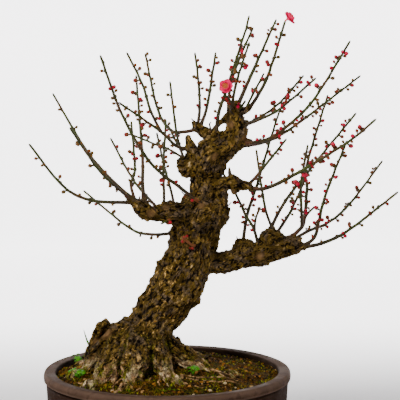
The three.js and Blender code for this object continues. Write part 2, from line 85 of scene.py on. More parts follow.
def shown(name, data):
    """An object that puts a mesh, a lamp or a camera into the scene."""
    thing = bpy.data.objects.new(name, data)
    bpy.context.scene.collection.objects.link(thing)
    return thing


def plain_shape(name, points, faces=(), edges=()):
    """An object whose mesh has these corners, faces and edges."""
    mesh = bpy.data.meshes.new(name)
    mesh.from_pydata(points, edges, faces)
    mesh.update()
    return shown(name, mesh)


def new_piece(name, points, faces=(), edges=()):
    """An object whose mesh is given in mm round the pot's axis, and kept in metres."""
    return plain_shape(name, [(POT_X + x * MM, y * MM, z * MM) for x, y, z in points], faces, edges)


def give(piece, name, values, kind="FLOAT"):
    """Stores one value or vector for each vertex of a piece."""
    attribute = piece.data.attributes.new(name, kind, "POINT")
    field = "vector" if kind == "FLOAT_VECTOR" else "value"
    attribute.data.foreach_set(field, np.asarray(values, np.float32).ravel())


def spots_of(piece):
    """The vertices of a piece in mm round the pot's axis, as an array."""
    spots = np.zeros(len(piece.data.vertices) * 3, np.float32)
    piece.data.vertices.foreach_get("co", spots)
    return (spots.reshape(-1, 3) - (POT_X, 0, 0)) / MM


def make_plain(piece):
    """Turns a piece and its modifiers into one plain mesh."""
    seen = piece.evaluated_get(bpy.context.evaluated_depsgraph_get())
    mesh = bpy.data.meshes.new_from_object(seen)
    piece.modifiers.clear()
    piece.data = mesh


def smooth_faces(piece, angle=180):
    """Shades a piece smooth, apart from edges sharper than the angle in degrees."""
    piece.data.shade_smooth()
    if angle < 180:
        piece.data.set_sharp_from_angle(angle=math.radians(angle))


def wire(tree, kind, feeds=(), out=0, **settings):
    """Adds a node, feeds its inputs with values or sockets, and returns one of its outputs."""
    node = tree.nodes.new(kind)
    for setting, value in settings.items():
        setattr(node, setting, value)
    inputs = [socket for socket in node.inputs if socket.enabled]
    outputs = [socket for socket in node.outputs if socket.enabled]
    named = feeds if isinstance(feeds, dict) else dict(enumerate(feeds))
    for key, value in named.items():
        if isinstance(key, int):
            socket = inputs[key]
        else:
            socket = next(found for found in inputs if found.name == key)
        if isinstance(value, bpy.types.NodeSocket):
            tree.links.new(value, socket)
        else:
            socket.default_value = value
    if isinstance(out, int):
        return outputs[out]
    return next(found for found in outputs if found.name == out)


def maths(tree, operation, *values):
    return wire(tree, "ShaderNodeMath", values, operation=operation)


def times(tree, product, *others):
    """The product of two or more values."""
    for other in others:
        product = maths(tree, "MULTIPLY", product, other)
    return product


def vector_maths(tree, operation, *values):
    return wire(tree, "ShaderNodeVectorMath", values, operation=operation)


def height_of(tree, place):
    """The Z share of a place or direction."""
    return wire(tree, "ShaderNodeSeparateXYZ", (place,), "Z")


def mixed(tree, share, first, second):
    return wire(tree, "ShaderNodeMix", (share, first, second), data_type="RGBA")


def eased(tree, value, low, high, to_low=0.0, to_high=1.0):
    """A value brought smoothly from the range low to high into another range."""
    return wire(tree, "ShaderNodeMapRange", (value, low, high, to_low, to_high),
                interpolation_type="SMOOTHSTEP")


def noise_at(tree, place, scale, detail=3.0, roughness=0.55):
    feeds = {"Vector": place, "Scale": scale, "Detail": detail, "Roughness": roughness}
    return wire(tree, "ShaderNodeTexNoise", feeds)


def stored(tree, name):
    """A shader's reading of a number that the mesh holds."""
    return wire(tree, "ShaderNodeAttribute", out="Fac", attribute_name=name)


def cells_at(tree, place, scale):
    """Distance from the middle of the nearest cell, for specks, pits and pores."""
    return wire(tree, "ShaderNodeTexVoronoi", {"Vector": place, "Scale": scale}, "Distance")


def new_group(name, inputs, output, kind):
    """A shader group with inputs given as kinds of socket by name, and one output."""
    group = bpy.data.node_groups.new(name, "ShaderNodeTree")
    for label, input_kind in inputs.items():
        group.interface.new_socket(label, in_out="INPUT", socket_type=f"NodeSocket{input_kind}")
    group.interface.new_socket(output, in_out="OUTPUT", socket_type=f"NodeSocket{kind}")
    return group, group.nodes.new("NodeGroupInput").outputs


def end_group(group, result):
    group.links.new(result, group.nodes.new("NodeGroupOutput").inputs[0])
    return group


def mottling():
    """Three colours in drifting patches, the second as broad spots and the third as small ones."""
    group, given = new_group("mottling", {
        "Place": "Vector", "Scale": "Float", "Base": "Color", "Patches": "Color",
        "Specks": "Color"}, "Colour", "Color")
    broad = eased(group, noise_at(group, given["Place"], given["Scale"]), 0.38, 0.64)
    finer = times(group, given["Scale"], 4.7)
    small = eased(group, noise_at(group, given["Place"], finer), 0.52, 0.68)
    patched = mixed(group, broad, given["Base"], given["Patches"])
    return end_group(group, mixed(group, small, patched, given["Specks"]))


def grain():
    """Height of a fine crumbly grain with pits, for a bump."""
    group, given = new_group("grain", {"Place": "Vector", "Scale": "Float", "Pits": "Float"},
                             "Height", "Float")
    rough = noise_at(group, given["Place"], given["Scale"], 5.0, 0.65)
    cells = cells_at(group, given["Place"], given["Scale"])
    pits = times(group, eased(group, cells, 0.0, 0.3), given["Pits"])
    return end_group(group, maths(group, "ADD", rough, pits))


MOTTLING = mottling()
GRAIN = grain()


def mottled(tree, place, scale, base, patches, specks):
    feeds = {"Place": place, "Scale": scale, "Base": base, "Patches": patches, "Specks": specks}
    return wire(tree, "ShaderNodeGroup", feeds, node_tree=MOTTLING)


def grain_height(tree, place, scale, pits=0.3):
    feeds = {"Place": place, "Scale": scale, "Pits": pits}
    return wire(tree, "ShaderNodeGroup", feeds, node_tree=GRAIN)


def new_material(name, roughness, specular=0.5):
    """A material, its tree and the object's own coordinates in it."""
    material = bpy.data.materials.new(name)
    material.use_nodes = True
    tree = material.node_tree
    shader = tree.nodes["Principled BSDF"]
    shader.inputs["Roughness"].default_value = roughness
    shader.inputs["Specular IOR Level"].default_value = specular
    return material, tree, wire(tree, "ShaderNodeTexCoord", out="Object")


def painted(material, colour, height=None, depth_mm=1.0, **feeds):
    """Feeds a material its colour, a relief where 1 stands proud by the depth, and the rest."""
    tree = material.node_tree
    feeds["Base Color"] = colour
    if height is not None:
        feeds["Normal"] = wire(tree, "ShaderNodeBump",
                               {"Height": height, "Distance": depth_mm * MM})
    for name, value in feeds.items():
        tree.links.new(value, tree.nodes["Principled BSDF"].inputs[name])
    return material


def rounded(corners, steps=5):
    """An outline through corners of (out, up, radius), each turned with its radius."""
    line = []
    for i, (out, up, radius) in enumerate(corners):
        here = Vector((out, up))
        if not radius:
            line.append((out, up))
            continue
        back = (Vector(corners[i - 1][:2]) - here).normalized()
        ahead = (Vector(corners[i + 1][:2]) - here).normalized()
        half = back.angle(ahead) / 2
        centre = here + (back + ahead).normalized() * (radius / math.sin(half))
        spoke = here + back * (radius / math.tan(half)) - centre
        turn = spoke.angle_signed(here + ahead * (radius / math.tan(half)) - centre)
        for step in range(steps + 1):
            line.append(tuple(centre + Matrix.Rotation(-turn * step / steps, 2) @ spoke))
    return line


def ring_faces(rings, sides, first, low_end, high_end):
    """Faces over rings of points that follow the first one, closed by a point at each end."""
    faces = []
    for side in range(sides):
        this, other = first + side, first + (side + 1) % sides
        faces.append((low_end, other, this))
        for ring in range(rings - 1):
            low, high = ring * sides, (ring + 1) * sides
            faces.append((this + low, other + low, other + high, this + high))
        last = (rings - 1) * sides
        faces.append((this + last, other + last, high_end))
    return faces


def circle(radius, up, sides, x=0, y=0):
    """Points evenly round a level circle."""
    turns = [math.tau * side / sides for side in range(sides)]
    return [(x + radius * math.cos(turn), y + radius * math.sin(turn), up) for turn in turns]


def turned(name, outline, sides):
    """A closed round piece, from an outline that starts and ends on the axis."""
    points = [(0, 0, outline[0][1]), (0, 0, outline[-1][1])]
    for out, up in outline[1:-1]:
        points += circle(out, up, sides)
    return new_piece(name, points, ring_faces(len(outline) - 2, sides, 2, 0, 1))


def foot_block(middle):
    """Corners and faces of one foot, a short arc of a ring, sunk a little into the pot's base."""
    top = FOOT_HEIGHT + FOOT_SUNK
    points = []
    for step in range(FOOT_STEPS + 1):
        angle = middle + FOOT_HALF_ANGLE * (2 * step / FOOT_STEPS - 1)
        for out, up in ((FOOT_INNER, 0), (FOOT_OUTER, 0), (FOOT_OUTER, top), (FOOT_INNER, top)):
            points.append((out * math.cos(angle), out * math.sin(angle), up))
    faces = [(0, 1, 2, 3), tuple(4 * FOOT_STEPS + corner for corner in (3, 2, 1, 0))]
    for step in range(FOOT_STEPS):
        for corner in range(4):
            this, after = 4 * step + corner, 4 * step + (corner + 1) % 4
            faces.append((this, this + 4, after + 4, after))
    return points, faces


def merged_piece(name, parts):
    """One piece from several lists of points and faces."""
    points, faces = [], []
    for part_points, part_faces in parts:
        faces += [tuple(len(points) + corner for corner in face) for face in part_faces]
        points += part_points
    return new_piece(name, points, faces)


def drain_drill(angle):
    """Corners and faces of the round bar that cuts one drain hole."""
    x, y = DRAIN_CIRCLE * math.cos(angle), DRAIN_CIRCLE * math.sin(angle)
    points = [spot for up in (FOOT_HEIGHT - DRILL_SPARE, FLOOR_TOP + DRILL_SPARE)
              for spot in circle(DRAIN_RADIUS, up, DRAIN_SIDES, x, y)]
    faces = [tuple(reversed(range(DRAIN_SIDES))), tuple(range(DRAIN_SIDES, 2 * DRAIN_SIDES))]
    for side in range(DRAIN_SIDES):
        after = (side + 1) % DRAIN_SIDES
        faces.append((side, after, DRAIN_SIDES + after, DRAIN_SIDES + side))
    return points, faces


def recalculated(piece):
    """Turns the faces of a closed piece to point outwards."""
    shell = bmesh.new()
    shell.from_mesh(piece.data)
    bmesh.ops.recalc_face_normals(shell, faces=shell.faces)
    shell.to_mesh(piece.data)
    shell.free()


THIRDS = [math.tau * third / 3 for third in range(3)]
# The section from the middle of the base, up the wall and over the lip to the middle of the floor:
# out, up and the radius that each corner is turned with
pot = turned("stoneware_pot", rounded([
    (0, FOOT_HEIGHT, 0), (FOOT_OUTER + 9, FOOT_HEIGHT, 9), (POT_RADIUS - 8, FOOT_HEIGHT + 18, 16),
    (POT_RADIUS - 3.6, GROOVE_HEIGHT - 2, 1.2), (POT_RADIUS - 6.2, GROOVE_HEIGHT - 0.6, 0.8),
    (POT_RADIUS - 5.6, GROOVE_HEIGHT + 1.6, 0.8), (POT_RADIUS - 0.6, GROOVE_HEIGHT + 1.2, 1.4),
    (POT_RADIUS, POT_HEIGHT - 6, 12), (POT_RADIUS - 1.5, POT_HEIGHT, 3.2),
    (INNER_RADIUS, POT_HEIGHT - 1.2, 2.4), (INNER_RADIUS, FLOOR_TOP + 6, 10),
    (INNER_RADIUS - 18, FLOOR_TOP, 10), (0, FLOOR_TOP, 0)]), POT_SIDES)
feet = merged_piece("feet", [foot_block(third - math.pi / 2) for third in THIRDS])
drills = merged_piece("drills", [drain_drill(third + math.pi / 2) for third in THIRDS])
recalculated(feet)
recalculated(drills)
soften = feet.modifiers.new("soft edges", "BEVEL")
soften.width = 2.2 * MM
soften.segments = 3
make_plain(feet)
for operation, tool in (("UNION", feet), ("DIFFERENCE", drills)):
    joint = pot.modifiers.new(operation.lower(), "BOOLEAN")
    joint.operation = operation
    joint.object = tool
    joint.solver = "EXACT"
make_plain(pot)
bpy.data.objects.remove(feet)
bpy.data.objects.remove(drills)
smooth_faces(pot, 50)

pot_spots = spots_of(pot)
pot_out = np.hypot(pot_spots[:, 0], pot_spots[:, 1])
# Edges that hands and the bench rub pale: out, up and how far the wear reaches
RUBBED_EDGES = [(POT_RADIUS, POT_HEIGHT - 2, 4.5), (INNER_RADIUS + 1, POT_HEIGHT - 1, 3),
                (POT_RADIUS - 0.6, GROOVE_HEIGHT + 2, 2), (FOOT_OUTER, 0, 3)]
rubbed = np.zeros(len(pot_spots))
for out, up, reach in RUBBED_EDGES:
    away = np.hypot(pot_out - out, pot_spots[:, 2] - up)
    rubbed = np.maximum(rubbed, np.exp(-(away / reach) ** 2))
give(pot, "rubbed", rubbed)
# Painted shade: the pot's inner face and floor are marked here to be darkened
give(pot, "inside", np.clip((INNER_RADIUS + 3 - pot_out) / 3, 0, 1))


def clay_material():
    """Fired brown clay with iron specks, rubbed edges, lime bloom, turner's rings and painted
    shade.
    """
    material, tree, place = new_material("fired_clay", 0.8, 0.02)
    body = mottled(tree, place, 26.0, paint(58, 42, 32), paint(72, 54, 42), paint(45, 31, 22))
    height = height_of(tree, place)
    # Painted shade: the wall under the lip is darkened towards dark brown
    shade_below_lip = eased(tree, height, GROOVE_HEIGHT * MM, (GROOVE_HEIGHT + 2) * MM, 1.0, 0.0)
    body = mixed(tree, times(tree, shade_below_lip, 0.85), body, paint(36, 22, 14))
    specks = eased(tree, cells_at(tree, place, 330.0), 0.1, 0.22, 0.75, 0.0)
    body = mixed(tree, specks, body, paint(44, 31, 24))
    lime = eased(tree, noise_at(tree, place, 60.0, 6.0, 0.7), 0.56, 0.78, 0.0, 0.35)
    body = mixed(tree, lime, body, paint(112, 92, 76))
    body = mixed(tree, times(tree, stored(tree, "rubbed"), 0.4), body, paint(104, 84, 72))
    # Painted shade on the pot's inner face, darkened nearly to black-brown
    body = mixed(tree, times(tree, stored(tree, "inside"), 0.85), body, paint(34, 23, 13))
    gloss = eased(tree, noise_at(tree, place, 40.0), 0.3, 0.7, 0.6, 0.82)
    wobble = times(tree, noise_at(tree, place, 9.0), 0.012)
    rings = maths(tree, "SINE", times(tree, maths(tree, "ADD", height, wobble), 1700.0))
    relief = maths(tree, "ADD", times(tree, rings, 0.25), grain_height(tree, place, 620.0, 0.5))
    return painted(material, body, relief, 0.35, Roughness=gloss)


pot.data.materials.clear()
pot.data.materials.append(clay_material())
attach(pot, "root")
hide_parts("pot")


# Drain screens
# Squares of black plastic net woven from thin strands, laid over the three drain holes so that the
# soil stays in. They lie loose on the floor of the pot, under the soil.
STRANDS = 16
STRAND_RADIUS = 0.42
STRAND_WAVE = 0.38


def new_tree(name, sizes, counts=()):
    """A Geometry Nodes tree that takes and gives geometry, with inputs for sizes and counts."""
    tree = bpy.data.node_groups.new(name, "GeometryNodeTree")
    inputs = {"Geometry": "Geometry", **dict.fromkeys(sizes, "Float"),
              **dict.fromkeys(counts, "Int")}
    for label, kind in inputs.items():
        tree.interface.new_socket(label, in_out="INPUT", socket_type=f"NodeSocket{kind}")
    tree.interface.new_socket("Geometry", in_out="OUTPUT", socket_type="NodeSocketGeometry")
    return tree, tree.nodes.new("NodeGroupInput").outputs


def finish_tree(tree, geometry, material):
    """Ends a tree: copies made real, faces smooth, material set."""
    real = wire(tree, "GeometryNodeRealizeInstances", (geometry,))
    soft = wire(tree, "GeometryNodeSetShadeSmooth", (real,))
    dressed = wire(tree, "GeometryNodeSetMaterial", {"Geometry": soft, "Material": material})
    tree.links.new(dressed, tree.nodes.new("NodeGroupOutput").inputs[0])
    return tree


def grow(piece, tree, values):
    """Runs a tree on a piece with these values for its inputs, and keeps the plain result."""
    modifier = piece.modifiers.new(tree.name, "NODES")
    modifier.node_group = tree
    for socket in tree.interface.items_tree:
        if socket.in_out == "INPUT" and socket.name in values:
            modifier[socket.identifier] = values[socket.name]
    make_plain(piece)


def read(tree, name, kind="FLOAT"):
    """A Geometry Nodes reading of what the mesh holds."""
    return wire(tree, "GeometryNodeInputNamedAttribute", {"Name": name}, data_type=kind)


def strand_tree(name, material):
    """Gives each line of edges a round section; the mesh holds each point's thickness."""
    tree, given = new_tree(name, ["Thickness"], ["Sides"])
    line = wire(tree, "GeometryNodeMeshToCurve", (given["Geometry"],))
    section = wire(tree, "GeometryNodeCurvePrimitiveCircle",
                   {"Resolution": given["Sides"], "Radius": MM})
    thick = times(tree, read(tree, "thick"), given["Thickness"])
    feeds = {"Curve": line, "Profile Curve": section, "Scale": thick, "Fill Caps": True}
    return finish_tree(tree, wire(tree, "GeometryNodeCurveToMesh", feeds), material)


def lines_piece(name, lines):
    """A piece of edge lines from arrays with columns x, y, z in mm and thickness."""
    points = np.vstack([line[:, :3] for line in lines])
    edges, start = [], 0
    for line in lines:
        edges += [(i, i + 1) for i in range(start, start + len(line) - 1)]
        start += len(line)
    piece = new_piece(name, points.tolist(), edges=edges)
    give(piece, "thick", np.concatenate([line[:, 3] for line in lines]))
    return piece


def net_material():
    """Dull black plastic with a faint brown dust from the soil."""
    material, tree, place = new_material("black_net", 0.58)
    colour = mottled(tree, place, 160.0, paint(30, 29, 27), paint(40, 37, 32), paint(74, 58, 40))
    return painted(material, colour, grain_height(tree, place, 900.0), 0.08)


net_tree = strand_tree("woven_strands", net_material())
for number in (1, 2, 3):
    node = f"drain_screen_{number}"
    low, high = ((corner - AXIS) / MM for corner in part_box(node))
    middle_height = (low.z + high.z) / 2
    share = np.linspace(0, 1, 2 * STRANDS + 1)
    weave = []
    for along, across in ((0, 1), (1, 0)):
        reach = high[along] - low[along] - 2 * STRAND_RADIUS
        for strand in range(STRANDS):
            line = np.zeros((2 * STRANDS + 1, 4))
            line[:, along] = low[along] + STRAND_RADIUS + reach * share
            line[:, across] = low[across] + (high[across] - low[across]) * (strand + 0.5) / STRANDS
            phase = math.pi * (strand + along)
            wave = np.cos(math.pi * (share * STRANDS - 0.5) + phase)
            line[:, 2] = middle_height + STRAND_WAVE * wave
            line[:, 3] = STRAND_RADIUS
            weave.append(line)
    net = lines_piece(f"drain_net_{number}", weave)
    grow(net, net_tree, {"Thickness": 1.0, "Sides": 5})
    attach(net, "root")
    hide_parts(node)


# Soil
# A gritty mix of clay crumbs and humus that fills the pot and rises to the roots, darker and damp
# where moss has a hold. It was pressed in by hand, so its top is lumpy.
SOIL_EDGE = 103
SOIL_RISE = 13
SOIL_GAP = 0.25
SOIL_RINGS = 66
SOIL_SIDES = 176


def soil_height(x, y):
    """Height of the soil in mm at a place round the pot's axis."""
    out = math.hypot(x, y) / INNER_RADIUS
    lumps = 1.3 * math.sin(x / 11 + 1) * math.sin(y / 13) + 0.9 * math.sin(x / 5.5 - y / 7)
    return SOIL_EDGE + SOIL_RISE * (1 - out * out) + lumps


def crumbs(x, y):
    """Small unevenness in mm on top of that height."""
    here = Vector((x, y, 0))
    return 1.1 * noise.noise(here / 9) + 0.8 * noise.noise(here / 4) + 0.5 * noise.noise(here / 2.1)


soil_edge = INNER_RADIUS - SOIL_GAP
soil_rings = [soil_edge * (ring / SOIL_RINGS) ** 0.85 for ring in range(SOIL_RINGS, 0, -1)]
# The mound follows the bend at the foot of the pot's wall, clear of it by the gap
soil = turned("soil_mound", [
    (0, FLOOR_TOP + SOIL_GAP), (INNER_RADIUS - 14, FLOOR_TOP + SOIL_GAP),
    (INNER_RADIUS - 5, FLOOR_TOP + 3), (soil_edge, FLOOR_TOP + 12)]
    + [(out, SOIL_EDGE) for out in soil_rings] + [(0, SOIL_EDGE)], SOIL_SIDES)
soil_top = []
for vertex in soil.data.vertices:
    x, y, z = (vertex.co.x - POT_X) / MM, vertex.co.y / MM, vertex.co.z / MM
    soil_top.append(float(z > SOIL_EDGE - 1))
    if soil_top[-1]:
        vertex.co.z = (soil_height(x, y) + crumbs(x, y)) * MM
smooth_faces(soil)


def soil_material():
    """Dark crumbly earth with ochre crumbs, a thin green film of young moss and painted shadow."""
    material, tree, place = new_material("pot_soil", 0.95, 0.02)
    earth = mottled(tree, place, 150.0, paint(38, 24, 7), paint(78, 54, 18), paint(150, 98, 34))
    film = eased(tree, noise_at(tree, place, 34.0, 5.0, 0.6), 0.42, 0.6, 0.0, 0.8)
    earth = mixed(tree, film, earth, paint(70, 68, 10))
    # Painted shadow: near-black gaps between the crumbs wherever this noise is low
    holes = eased(tree, noise_at(tree, place, 300.0, 4.0, 0.7), 0.42, 0.56)
    earth = mixed(tree, holes, paint(8, 5, 2), earth)
    return painted(material, earth, grain_height(tree, place, 420.0, 0.6), 1.1)


soil.data.materials.append(soil_material())
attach(soil, "root")
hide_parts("soil")


# Grit
# Crumbs of burnt clay, river grit and bits of bark that lie loose on the soil, half sunk in it, and
# thickest along the pot's wall. They were sieved, so all are a few millimetres across at most.
GRIT_SEED = 11


def pebble(name, seed, flat):
    """A small angular crumb, one unit across, that copies are made from."""
    shell = bmesh.new()
    bmesh.ops.create_icosphere(shell, subdivisions=1, radius=1.0)
    draw = np.random.default_rng(seed)
    for vertex in shell.verts:
        vertex.co *= draw.uniform(0.72, 1.12)
        vertex.co.z *= flat
    mesh = bpy.data.meshes.new(name)
    shell.to_mesh(mesh)
    shell.free()
    return shown(name, mesh)


def random_value(tree, low, high, seed):
    return wire(tree, "FunctionNodeRandomValue", {"Min": low, "Max": high, "Seed": seed})


def random_turn(tree, seed):
    """A random rotation about any axis."""
    feeds = {"Min": (0.0, 0.0, 0.0), "Max": (math.tau, math.tau, math.tau), "Seed": seed}
    angles = wire(tree, "FunctionNodeRandomValue", feeds, data_type="FLOAT_VECTOR")
    return wire(tree, "FunctionNodeEulerToRotation", (angles,))


def keep(tree, geometry, name, value, domain="POINT"):
    """Stores a number on a geometry under a name that a material reads."""
    return wire(tree, "GeometryNodeStoreNamedAttribute",
                {"Geometry": geometry, "Name": name, "Value": value}, domain=domain)


def copies_on(tree, points, chosen, shape, turn, size):
    """Copies of one small shape on the chosen points."""
    shape = wire(tree, "GeometryNodeObjectInfo", {"Object": shape, "As Instance": True}, "Geometry")
    return wire(tree, "GeometryNodeInstanceOnPoints", {
        "Points": points, "Selection": chosen, "Instance": shape, "Rotation": turn, "Scale": size})


def joined(tree, heaps):
    """Several geometries as one."""
    join = wire(tree, "GeometryNodeJoinGeometry")
    for heap in heaps:
        tree.links.new(heap, join.node.inputs[0])
    return join


def scatter_tree(name, shapes, material, sizes, seated):
    """Copies of small shapes strewn on a surface wherever the mesh holds a bed value.

    For each shape, seated gives the turn and size of its copies.
    """
    tree, given = new_tree(name, ["Spacing", "Density", *sizes], ["Seed"])
    facing = wire(tree, "GeometryNodeDistributePointsOnFaces", {
        "Mesh": given["Geometry"], "Distance Min": given["Spacing"],
        "Density Max": given["Density"], "Density Factor": read(tree, "bed"),
        "Seed": given["Seed"]}, out="Rotation", distribute_method="POISSON")
    heaps = []
    for number, shape in enumerate(shapes):
        picked = wire(tree, "FunctionNodeRandomValue", {"Max": len(shapes) - 1, "Seed": 5},
                      data_type="INT")
        chosen = wire(tree, "FunctionNodeCompare", (picked, number), data_type="INT",
                      operation="EQUAL")
        turn, size = seated(tree, given, facing, number)
        heaps.append(copies_on(tree, facing.node.outputs["Points"], chosen, shape, turn, size))
    toned = keep(tree, joined(tree, heaps), "tone", random_value(tree, 0.0, 1.0, 3), "INSTANCE")
    return finish_tree(tree, toned, material)


def tumbled(tree, given, facing, number):
    """A crumb turned any way, and more often small than large."""
    small = maths(tree, "POWER", random_value(tree, 0.0, 1.0, 23 + number), 2.4)
    return (random_turn(tree, 31 + number),
            eased(tree, small, 0.0, 1.0, given["Smallest"], given["Largest"]))


def copy_of(piece, name):
    """A second object with its own copy of a piece's mesh."""
    return shown(name, piece.data.copy())


def held(value):
    """A value kept between 0 and 1."""
    return min(1.0, max(0.0, value))


def coloured_by(tree, value, stops):
    """Colours in bands by a value from 0 to 1, each stop a place and a colour."""
    bands = tree.nodes.new("ShaderNodeValToRGB")
    elements = bands.color_ramp.elements
    while len(elements) < len(stops):
        elements.new(1.0)
    for element, (place, colour) in zip(elements, stops):
        element.position = place
        element.color = colour
    tree.links.new(value, bands.inputs["Fac"])
    return bands.outputs["Color"]


def grit_material():
    """Crumbs of many colours: humus, burnt clay, ochre bits and a few pale stones."""
    material, tree, place = new_material("grit", 0.85, 0.04)
    tone = coloured_by(tree, stored(tree, "tone"), [
        (0.0, paint(18, 11, 4)), (0.4, paint(44, 29, 10)), (0.66, paint(80, 55, 20)),
        (0.84, paint(128, 84, 28)), (0.93, paint(176, 118, 48)), (1.0, paint(214, 190, 146))])
    shade = eased(tree, noise_at(tree, place, 700.0), 0.3, 0.7)
    colour = mixed(tree, shade, mixed(tree, 0.45, tone, paint(12, 7, 2)), tone)
    return painted(material, colour, grain_height(tree, place, 1300.0), 0.25)


pebbles = [pebble("crumb_round", 1, 0.85), pebble("crumb_flat", 2, 0.5),
           pebble("crumb_long", 3, 0.7)]
grit = copy_of(soil, "loose_grit")
grit_bed = []
for vertex in grit.data.vertices:
    here = Vector(((vertex.co.x - POT_X) / MM, vertex.co.y / MM, 0))
    lively = 0.45 + 0.9 * noise.noise(here / 22)
    at_edge = max(0.0, here.length / INNER_RADIUS - 0.9) * 6
    grit_bed.append(held(lively + at_edge))
give(grit, "bed", np.array(grit_bed) * np.array(soil_top))
grit_strewing = scatter_tree("strewn_grit", pebbles, grit_material(),
                             ["Smallest", "Largest"], tumbled)
grow(grit, grit_strewing, {"Spacing": 2.0 * MM, "Density": 90000.0, "Smallest": 0.6 * MM,
                           "Largest": 3.4 * MM, "Seed": GRIT_SEED})
for crumb in pebbles:
    bpy.data.objects.remove(crumb)
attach(grit, "root")


# Trunk
# The old wood is one grown piece: roots, leaning stem, three branches, cut stubs and burls. Its
# bark is dark, deeply cracked along the grain and broken into rough plates, and the scars of old
# cuts have healed over.
TRUNK_VOXEL = 1.8
TRUNK_SMOOTHING = 4
COLLAR = 0.45
COLLAR_FOOT = 1.4
FLUTES = 9
FLUTES_FROM, FLUTES_TO = 100, 345
DEAD_SPURS = 44
SPURS_FROM = 250
SPUR_WOOD = 14
SPUR_SEED = 3
STOUT = 22
STEM_FOOT = (-44, -12)
BUTTRESS_REACH = 160
FOOT_ROOTS = 34
FOOT_ROOT_STEP = 4
ROOTS_END = 100
FORK_REACH = 34
ROOT_SEED = 8
WALL_GAP = 9
LINE_STEP = 3.0
SPAN_POINTS = 40
WASHED_BELOW = 142
FOLDED_BELOW = 175
FOLD_WIDTH = 6

